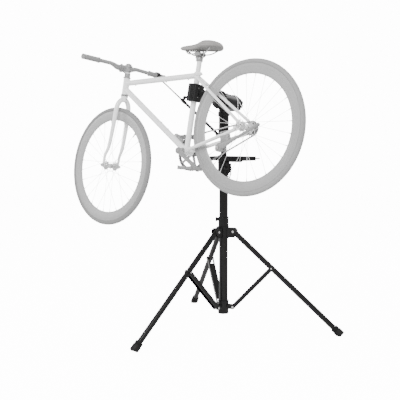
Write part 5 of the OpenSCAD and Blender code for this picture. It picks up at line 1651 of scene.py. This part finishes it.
# ---------------------------------------------------------------- stand
@dataclass
class Tripod:
    """Feet, pins, caps and knob of the folding legs."""

    foot_r: float = 22.5
    leg_r: float = 15.0

    def build(self) -> None:
        """Builds the three feet and the small hardware."""
        for i in (1, 2, 3):
            self.make_foot(i)
        self.make_pins()
        self.make_knob()
        self.make_trim()

    def make_foot(self, i: int) -> None:
        """A ribbed rubber boot; what would pass the floor is drawn back along the leg to lie flat on it."""
        at, full = AT.leg(i), AT.leg_length
        z = np.linspace(full - 38, full - 19, 40)
        collar = np.stack([self.foot_r - 2.4 + 0.9 * np.sign(np.sin((z - z[0]) * 1.35)), z], 1)
        profile = np.concatenate([[[self.leg_r + 0.1, z[0] - 0.6], [self.foot_r - 4, z[0] - 0.4]], collar,
                                  [[self.foot_r - 0.8, full - 18.4], [self.foot_r - 0.1, full - 17]],
                                  np.stack([np.full(24, self.foot_r - 0.1),
                                            np.linspace(full - 16, full + 15, 24)], 1),
                                  [[self.foot_r - 1.2, full + 16], [1, full + 16.2]]])
        a = ring(64)
        pts = np.stack([profile[:, :1] * np.cos(a), profile[:, :1] * np.sin(a), profile[:, 1:] + 0 * a], 2)
        world = at.mm(pts)
        down = at.axes[:, 2]
        under = np.minimum(world[..., 2] - 0.05, 0)
        world = world - (under / down[2])[..., None] * down
        shell = Shell().grid(world)
        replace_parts(shell.build(f"foot_boot_{i}", BLACK_RUBBER, f"leg_{i}", 40), f"foot_{i}")

    def make_pins(self) -> None:
        """Domed rivet heads with washers on the hinges of the collar, the hub and the braces."""
        base, collar = Shell(), Shell()
        dome = [[6.4, 0], [6.4, 1.0], [4.9, 1.2], [4.6, 2.4], [3.2, 3.6], [0.8, 4.0]]
        for i in (1, 2, 3):
            spread = AT.spread(i)
            for s in (-1, 1):
                for shell, z, y in ((collar, AT.collar_z, 20.4), (base, 124.0, 18.3)):
                    p = vec(AT.hinge_r, s * y, z)
                    shell.lathe(dome, 24, spread.inner(p, turn("x", -90 * s)))
        base.build("hub_rivets", ZINC, "stand_base", 35)
        collar.build("collar_rivets", ZINC, "collar", 35)
        for i in (1, 2, 3):
            leg = Shell(AT.leg(i))
            for s in (-1, 1):
                p = vec(0, s * 21.5, 290)
                leg.lathe([[6.2, -4], [6.2, -1], [4.7, -0.6], [4.4, 0.8], [3, 1.9], [0.8, 2.2]], 24,
                          Place(p, turn("x", -90 * s)))
            leg.build(f"leg_rivets_{i}", ZINC, f"brace_{i}", 35)

    def make_knob(self) -> None:
        """Six lobes: the radius of the grip swings with six times the angle."""
        at = turned("z", 215).inner(vec(0, 0, AT.collar_z + 66), turn("y", 90))
        z = 24.5
        shell = Shell(at).lathe([[3, z + 0.4], [3, z + 9], [8.6, z + 9], [11, z + 9.4], [12.4, z + 11],
                                 [12.4, z + 17.6], [11.4, z + 19.6],
                                 [7, z + 20], [6.4, z + 19.2], [1, z + 19.2]], 84, None, lobed(6, 1.5, 8))
        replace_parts(shell.build("collar_knob_lobed", BLACK_PLASTIC, "collar_knob", 35), "collar_knob")

    def make_trim(self) -> None:
        """Beaded ends on the sliding collar and rolled lips on the hub."""
        z = AT.collar_z
        shell = Shell().lathe([[25.1, z + 80], [28.6, z + 79.8], [29.3, z + 78.6], [29.3, z + 75.4],
                               [28.4, z + 74.6], [25.1, z + 74.4]], 72, loop=True)
        shell.lathe([[25.1, z - 39], [30, z - 38.8], [30.9, z - 37.6], [30.9, z - 34.4], [30, z - 33.4],
                     [25.1, z - 33.2]], 72, loop=True)
        shell.lathe([[28, z + 24], [30.8, z + 24.6], [30.8, z + 28.4], [28.2, z + 29.4]], 72, loop=True)
        shell.build("collar_beads", BLACK_PLASTIC, "collar", 35)
        hub = Shell().lathe([[22, 83.6], [28.2, 84], [30.2, 87.4], [30.2, 92], [29.4, 93], [22, 93.4]], 72)
        hub.lathe([[24.6, 153], [30, 153.4], [30.6, 155], [30.2, 158.6], [24.6, 159.4]], 72, loop=True)
        hub.build("hub_lips", BLACK_PLASTIC, "stand_base", 35)


@dataclass
class Mast:
    """The height clamp's lever and bolt, tray trim and tube caps."""

    top: float = 928.0
    mast_r: float = 24.5

    def build(self) -> None:
        """Builds the trim of the mast."""
        self.make_lever()
        self.make_clamp_trim()
        self.make_tray()
        self.make_button()

    def make_lever(self) -> None:
        """A cam and a hanging handle, the handle bent a little outward and swelling to its end."""
        at = turned("z", 350).inner(vec(self.mast_r + 15, 0, self.top - 34))
        shell = Shell(at)
        shell.lathe([[3.9, -28], [3.9, 14.4]], 24, hub_frame())
        shell.lathe([[2, -27.8], [9.2, -27.6], [10.2, -26.4], [10.2, -15.8], [9.2, -14.6], [2, -14.4]], 40,
                    hub_frame())
        knots = [[0, -22, 0], [0.4, -22.4, -16], [0, -23.4, -34], [-0.4, -24, -52], [-0.4, -23.4, -66]]
        path = smooth_path(knots, 30)
        t = np.linspace(0, 1, 30)
        wide = np.interp(t, [0, 0.3, 0.85, 0.97, 1], [7, 5.2, 6.8, 6, 3.4])
        deep = np.interp(t, [0, 0.3, 0.85, 0.97, 1], [4.2, 3.4, 4.2, 3.6, 2])
        shell.tube(path, 1.0, profile=box_sections(wide, deep, 0.7, 5), up=vec(1, 0, 0))
        shell.lathe([[2, 14.5], [7.6, 14.6], [8.1, 15.4], [8.1, 17.6], [6.6, 19], [2.6, 19.1]], 30,
                    hub_frame(),
                    knurled(16, 0.25, 7))
        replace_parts(shell.build("height_lever_cam", BLACK_PLASTIC, "height_lever", 40), "height_lever")

    def make_clamp_trim(self) -> None:
        """Raised bands above and below the clamp and a mouth ring where the upper tube enters."""
        t = self.top
        shell = Shell().lathe([[24.8, t - 70.4], [28.6, t - 70.2], [29.4, t - 69], [29.4, t - 64],
                               [28.4, t - 62.8], [24.8, t - 62.6]], 72, loop=True)
        shell.lathe([[31, t - 61.6], [32.3, t - 61], [32.3, t - 56.6], [31, t - 56]], 72, loop=True)
        shell.lathe([[31, t - 4], [32.2, t - 3.4], [32.2, t + 1.4], [31, t + 2]], 72, loop=True)
        shell.lathe([[16.8, t + 9.2], [22, t + 9.4], [23.4, t + 10.6], [22, t + 11.4], [18.4, t + 12.4],
                     [16.8, t + 12.2]], 60, loop=True)
        shell.build("height_clamp_bands", BLACK_PLASTIC, "stand_base", 35)

    def make_tray(self) -> None:
        """A rolled rim follows the tray's edge; low dividers, corner gussets and a knob end finish it."""
        x0, x1, y, z = -52.0, 177.0, 58.0, 960.0
        mid, half = (x0 + x1) / 2, (x1 - x0) / 2
        loop = rounded_outline(half - 0.6, y - 0.6, 3, 4)
        rim = np.column_stack([loop[:, 0] + mid, loop[:, 1], np.full(len(loop), z - 0.9)])
        shell = Shell().tube(rim, 1.9, 12, True)
        low = np.column_stack([loop[:, 0] + mid, loop[:, 1], np.full(len(loop), 939.6)])
        shell.tube(low, 1.3, 10, True)
        for k in range(9):
            x = x0 + 16 + k * (x1 - x0 - 32) / 8
            for s in (-1, 1):
                shell.tube(np.linspace(vec(x, s * (y - 0.2), 941), vec(x, s * (y - 0.2), 957.5), 4), 0.9, 8)
        shell.block((0.9, 35.6, 3), 0.8, shifted(62, -18, 943.6))
        shell.block((44, 0.9, 3), 0.8, shifted(110, 22, 943.6))
        shell.tube(np.linspace(vec(174, 44, 950), vec(211, 44, 950), 12),
                   vec(4.6, 4.2, 3.6, 3.4, 3.4, 3.4, 3.4, 3.4, 3.4, 3.6, 3.5, 2.4), 20)
        shell.build("tray_trim", BLACK_PLASTIC, "stand_base", 40)

    def make_button(self) -> None:
        """A domed spring button in the lower tube, below the collar's travel."""
        at = turned("z", 205).inner(vec(self.mast_r - 0.6, 0, 313), turn("y", 90))
        shell = Shell(at).lathe([[4.6, 0], [4.6, 0.8], [3.5, 1.0], [3.4, 3.2], [2.4, 4.4], [0.6, 4.7]], 24)
        shell.build("spring_button", ZINC, "stand_base", 40)


@dataclass
class Head:
    """The clamp head: casting trim, knob, serrated disc and arm."""

    back: float = -98.4

    def build(self) -> None:
        """Builds the head."""
        self.make_casting_trim()
        self.make_knob()
        self.make_arm()

    def make_casting_trim(self) -> None:
        """Rounded bands on the neck, a blended shoulder under the barrel and the barrel's end rings."""
        shell = Shell()
        shell.lathe([[27.2, 1087.6], [29.6, 1088.2], [30.2, 1090], [30.2, 1102], [29.6, 1104],
                     [27.2, 1104.8]], 72, loop=True)
        shell.lathe([[27.2, 1179], [31.2, 1179.6], [32.2, 1181.4], [32.2, 1200.4], [31.2, 1202.4],
                     [27.2, 1203]], 72, loop=True)
        z = np.linspace(0, 1, 14)
        shoulder = np.stack([27.4 + 9.5 * z**3, 1203 + 30 * z], 1)
        shell.lathe(shoulder, 72)
        for low, high in ((-98.2, -92), (-84.6, -71.4), (22, 28.2)):
            top = 45.6 if low == -84.6 else 42.9
            shell.lathe([[40, low], [top - 1.2, low + 0.2], [top, low + 1.6], [top, high - 1.6],
                         [top - 1.2, high - 0.2], [40, high]], 84,
                        AT.arm.inner(np.zeros(3), SIDEWAYS), None, True)
        shell.build("head_bands", BLACK_COAT, "upper_mast", 40)
        bolt = Shell(AT.arm)
        for k in (-1, 1):
            p = vec(0, 4 + 26 * k, 41.5)
            bolt.lathe([[2.4, 0], [5.2, 0.2], [5.4, 2.4], [4.4, 3.8], [2.6, 4.0], [2.3, 2.2]], 24,
                       Place(p, np.eye(3)))
        bolt.build("head_grub_bolts", ZINC, "upper_mast", 35)

    def make_knob(self) -> None:
        """Eight scallops cut into the grip, a waisted neck, a dished cap and a centre bolt."""
        b = self.back
        at = AT.arm.inner(np.zeros(3), SIDEWAYS)
        rows = [[12.2, b], [22.6, b - 0.2], [24, b - 1.6], [23.2, b - 6], [25, b - 9.4], [31, b - 10.2],
                [34, b - 12], [35, b - 15],
                [35, b - 29], [34, b - 32], [31, b - 33.8], [22, b - 34], [20, b - 32.4], [9, b - 31.4],
                [1, b - 31.4]]
        shell = Shell(at).lathe(rows, 128, None, scalloped(8, 5.2, 0.1, 1.4, 27))
        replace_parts(shell.build("head_knob_scalloped", BLACK_PLASTIC, "head_knob", 35), "head_knob")
        cap = Shell(at).lathe([[1, b - 31.2], [8.2, b - 31.4], [8.4, b - 34], [7.4, b - 34.8], [4, b - 34.9],
                               [3.6, b - 33.6], [1, b - 33.4]], 40)
        cap.build("head_knob_bolt", ZINC, "head_knob", 35)

    def make_arm(self) -> None:
        """A notched locking disc, a stepped tube with a ring at its end and fine turned grooves."""
        at = AT.arm.inner(np.zeros(3), SIDEWAYS)
        rows = [[12, 28.5], [47.4, 28.6], [49.2, 29.8], [50, 31.6], [50, 44.2], [49.2, 46.2], [47, 47.4],
                [30, 47.8], [26, 49.4], [24.4, 53], [20.4, 54]]
        tube = [[20, 55], [20, 118], [19.5, 118.4], [19.5, 120], [20, 120.4], [20, 146], [20.6, 150.4]]
        ring_rows = [[24, 151.6], [25, 153], [25, 176.6], [24, 178], [12, 178.2]]
        shell = Shell(at).lathe(rows + tube + ring_rows, 144, None, scalloped(24, 2.6, 0.35, 0.7, 46))
        shell.lathe([[11.9, -120], [11.9, 29]], 36)
        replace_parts(shell.build("clamp_arm_turned", BLACK_COAT, "clamp", 35), "clamp_arm")


@dataclass
class Jaws:
    """Rubber lips, bolts and levers of the tube clamp."""

    half: float = 45.0
    width: float = 66.0

    def build(self) -> None:
        """Builds the trim of both jaws and the latch."""
        place = AT.jaw
        lips = Shell(place)
        for s in (-1, 1):
            a = np.linspace(-math.pi + 0.28, -0.28, 30)
            lips.tube(np.stack([17.2 * np.cos(a), 17.2 * np.sin(a) - 0.6, np.full(30, s * 43.4)], 1), 2.6, 12)
        for k in range(5):
            z = -26 + 13 * k
            for s in (-1, 1):
                lips.block((1.1, 11, 4.6), 0.9, shifted(s * 33.2, -16, z))
        lips.build("jaw_fixed_lips", JAW_RUBBER, "clamp", 45)
        front = Shell(place)
        for s in (-1, 1):
            a = np.linspace(0.3, math.pi - 0.3, 30)
            front.tube(np.stack([17.4 * np.cos(a), 17.4 * np.sin(a) + 0.9, np.full(30, s * 43.4)], 1), 2.5,
                       12)
            b = np.linspace(0.62, math.pi - 0.62, 40)
            front.tube(np.stack([37.2 * np.cos(b), 37.2 * np.sin(b), np.full(40, s * 43.6)], 1), 1.8, 12)
        front.build("jaw_moving_lips", JAW_RUBBER, "jaw_moving", 45)
        bolts = Shell(place)
        for z in (-30, 14):
            for s in (-1, 1):
                head = Place(vec(s * 30, -50, z), turn("y", 90 * s))
                bolts.lathe([[2, -1], [5.4, 0], [5.4, 3.2], [4.2, 4.2], [1, 4.3]], 24, head, hexagon(5, 5.0))
        for s in (-1, 1):
            pin = Place(vec(39, 0, s * 35.5), np.eye(3) if s > 0 else turn("x", 180))
            bolts.lathe([[4.6, 0], [4.8, 1.2], [3.6, 2.4], [0.8, 2.7]], 24, pin)
        bolts.build("jaw_bolts", ZINC, "clamp", 35)
        latch = Shell(place.inner(vec(-self.width / 2 + 3, 12, 0)))
        handle = smooth_path([[-9.6, -2, 0], [-10.6, -12, 0], [-10.4, -22, 0], [-11.6, -32, 0],
                              [-14.6, -37, 0]], 24)
        latch.tube(handle, 1.0,
                   profile=rounded_outline(13.2, 3.3, 2.6, 5)[None] * np.linspace(1, 0.94, 24)[:, None, None],
                   up=vec(0, 0, 1))
        for k in range(4):
            latch.tube(np.linspace(vec(-13.6, -14 - 5 * k, -11), vec(-13.6, -14 - 5 * k, 11), 4), 0.8, 8)
        latch.build("jaw_latch_handle", BLACK_PLASTIC, "jaw_latch", 40)
        caps = Shell(place.inner(vec(-self.width / 2 + 3, 12, 0)))
        for s in (-1, 1):
            caps.lathe([[3, 23], [4.8, 23.6], [4.8, 25], [3.4, 26.2], [0.8, 26.5]], 24,
                       Place(np.zeros(3), np.eye(3) if s > 0 else turn("x", 180)))
        caps.build("jaw_latch_pins", ZINC, "jaw_moving", 35)


@dataclass
class Stay:
    """The telescopic handlebar stay."""

    pivot: tuple[float, float, float] = (-40.5, 0.0, 1079.0)
    base: tuple[float, float, float] = (-508.9, 28.5, 1407.2)
    grip: tuple[float, float, float] = (-539.2, 32.9, 1429.5)
    sleeve: float = 352.0
    hook_r: float = 19.1

    def build(self) -> None:
        """Builds the sleeve and the hook."""
        start, end, grip = (np.array(p) for p in (self.pivot, self.base, self.grip))
        line = along(start, end)
        total = np.linalg.norm(end - start)
        z = np.linspace(14, self.sleeve - 36, 70)
        hold = (z > 60) & (z < 190)
        body = np.stack([7.4 + 0.35 * np.sign(np.sin(z * 0.75)) * hold, z], 1)
        rows = np.concatenate([[[4.7, 13], [6.6, 13.2]], body,
                               [[9, self.sleeve - 34], [9.6, self.sleeve - 32], [9.6, self.sleeve - 3],
                                [8.8, self.sleeve - 0.4],
                               [4.7, self.sleeve]]])
        shell = Shell(line).lathe(rows, 40)
        sleeve = shell.build("stay_sleeve_grip", BLACK_PLASTIC, "stay_sleeve", 40)
        log.info("%s runs %.0f of %.0f mm", sleeve.name, self.sleeve, total)
        hook = Shell()
        bar = unit(vec(0.127, 0.978, -0.164))
        open_way = unit(vec(-0.987, 0.141, 0.077))
        side = np.cross(bar, open_way)
        a = np.linspace(math.radians(72), math.radians(288), 48)
        arc = grip + self.hook_r * (np.cos(a)[:, None] * open_way + np.sin(a)[:, None] * side)
        tips = [arc[0] + 7 * open_way, arc[-1] + 7 * open_way]
        path = np.concatenate([[tips[0]], arc, [tips[1]]])
        hook.tube(path, 1.0, profile=rounded_outline(11.2, 2.1, 1.8, 4), up=bar)
        hook.tube(np.linspace(end - 27 * line.axes[:, 2], end + 9 * line.axes[:, 2], 14),
                  vec(5.4, 6.9, 7.2, 7.2, 7.2, 7.2, 7.2, 7.2, 7.2, 7.2, 7.2, 7.1, 6.4, 4), 28)
        hook.tube(smooth_path([end, (end + grip - 22 * open_way) / 2, grip - 20 * open_way], 12),
                  np.linspace(6.6, 7.4, 12), 24)
        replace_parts(hook.build("stay_hook_moulded", BLACK_RUBBER, "stay_rod", 45), "stay_hook")


# ---------------------------------------------------------------- studio
@dataclass
class Studio:
    """Pale floor, soft white light and the camera."""

    eye: tuple[float, float, float] = (2.4999, -3.0701, 1.0557)
    heading: float = 41.04
    pitch: float = -4.87
    lens: float = 64.73
    floor_half: float = 9.0

    def build(self) -> None:
        """Builds the setting."""
        self.make_floor()
        self.make_world()
        self.make_light("key_softbox", (1.6, -3.4, 3.6), (0, -0.2, 0.9), 2.2, 190)
        self.make_light("fill_softbox", (-3.6, -2.2, 2.4), (0, -0.2, 0.9), 2.0, 50)
        self.make_light("back_softbox", (0.6, 3.4, 3.2), (0, 0, 0.9), 2.4, 60)
        self.make_camera()

    def make_floor(self) -> None:
        """A wide flat sheet of pale paper, which the camera sees as bright as the surround."""
        mesh = bpy.data.meshes.new("studio_floor")
        size = self.floor_half
        mesh.from_pydata([(-size, -size, 0), (size, -size, 0), (size, size, 0), (-size, size, 0)], [],
                         [(0, 1, 2, 3)])
        floor = bpy.data.objects.new("studio_floor", mesh)
        bpy.context.scene.collection.objects.link(floor)
        paper = bpy.data.materials.new("studio_paper")
        paper.use_nodes = True
        shader = paper.node_tree.nodes["Principled BSDF"]
        shader.inputs["Base Color"].default_value = (0.86, 0.86, 0.86, 1)
        shader.inputs["Roughness"].default_value = 0.85
        shader.inputs["Emission Color"].default_value = (1, 1, 1, 1)
        self.link_seen(paper.node_tree, shader.inputs["Emission Strength"], 0.0, 12.8)
        mesh.materials.append(paper)

    @staticmethod
    def link_seen(tree: bpy.types.NodeTree, socket: Socket, shed: float, seen: float) -> None:
        """Drives a strength by whether the ray comes straight from the camera.

        Args:
            tree: The tree the socket is in.
            socket: The strength.
            shed: Its value for light on other things.
            seen: Its value for the camera.
        """
        ray, pick = tree.nodes.new("ShaderNodeLightPath"), tree.nodes.new("ShaderNodeMapRange")
        tree.links.new(ray.outputs["Is Camera Ray"], pick.inputs["Value"])
        pick.inputs["To Min"].default_value, pick.inputs["To Max"].default_value = shed, seen
        tree.links.new(pick.outputs["Result"], socket)

    def make_world(self) -> None:
        """An even white surround that looks brighter than the light it sheds."""
        world = bpy.data.worlds.new("studio_world")
        world.use_nodes = True
        back = world.node_tree.nodes["Background"]
        back.inputs["Color"].default_value = (1, 1, 1, 1)
        self.link_seen(world.node_tree, back.inputs["Strength"], 1.2, 14.0)
        bpy.context.scene.world = world

    def make_light(self, name: str, at: tuple[float, float, float], aim: tuple[float, float, float],
                   size: float, power: float) -> None:
        """Adds one square softbox.

        Args:
            name: Name of the light.
            at: Its position.
            aim: The point it faces.
            size: Edge of the square.
            power: Watts.
        """
        data = bpy.data.lights.new(name, "AREA")
        data.size, data.energy = size, power
        lamp = bpy.data.objects.new(name, data)
        lamp.location = at
        lamp.rotation_euler = (Vector(aim) - Vector(at)).to_track_quat("-Z", "Y").to_euler()
        bpy.context.scene.collection.objects.link(lamp)

    def make_camera(self) -> None:
        """The default view, from the left rear quarter of the bicycle at its own height."""
        data = bpy.data.cameras.new("view_camera")
        data.lens, data.sensor_width = self.lens, 36.0
        camera = bpy.data.objects.new("view_camera", data)
        camera.location = self.eye
        camera.rotation_euler = (math.radians(90 + self.pitch), 0, math.radians(self.heading))
        bpy.context.scene.collection.objects.link(camera)
        bpy.context.scene.camera = camera


# ---------------------------------------------------------------- whole object
def dress_nodes(frame: dict) -> None:
    """Gives every carried-over node the finish of its material slot."""
    slots = {part["node"]: part["material_slot"] for part in frame["record"]["subparts"]}
    for name, node in frame["nodes"].items():
        finish = NODE_FINISH[slots[name]]
        # the front tyre takes the darker copy of the tyre rubber, whose tone carries painted shade
        if name == "front_tyre":
            finish = SHADED_FRONT_TYRE
        node.data.materials.clear()
        node.data.materials.append(finish.material())
        node.data.polygons.foreach_set("use_smooth", np.ones(len(node.data.polygons), bool))
        node.data.set_sharp_from_angle(angle=math.radians(28))


def main() -> None:
    """Builds everything in order."""
    logging.basicConfig(level=logging.INFO, format="%(message)s")
    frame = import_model()
    SHOP.build_groups()
    dress_nodes(frame)
    # the front tyre's darker tone is painted shade
    Wheel("front", AT.front_wheel, SHADED_FRONT_TYRE, RIM_COAT, 33, -33, 44, -44, -59).build()
    # the rear rim takes the darker copy of the rim coat, whose tone carries painted shade
    Wheel("rear", AT.bike, REAR_TYRE, SHADED_REAR_RIM_COAT, 34, -30, 55, -30, 150).build()
    for part in (FrameDetails(), Cockpit(), Seat(), Drive(), Kickstand(), Tripod(), Mast(), Head(), Jaws(),
                 Stay(), Studio()):
        log.info("building %s", type(part).__name__)
        part.build()


if __name__ == "__main__":
    main()
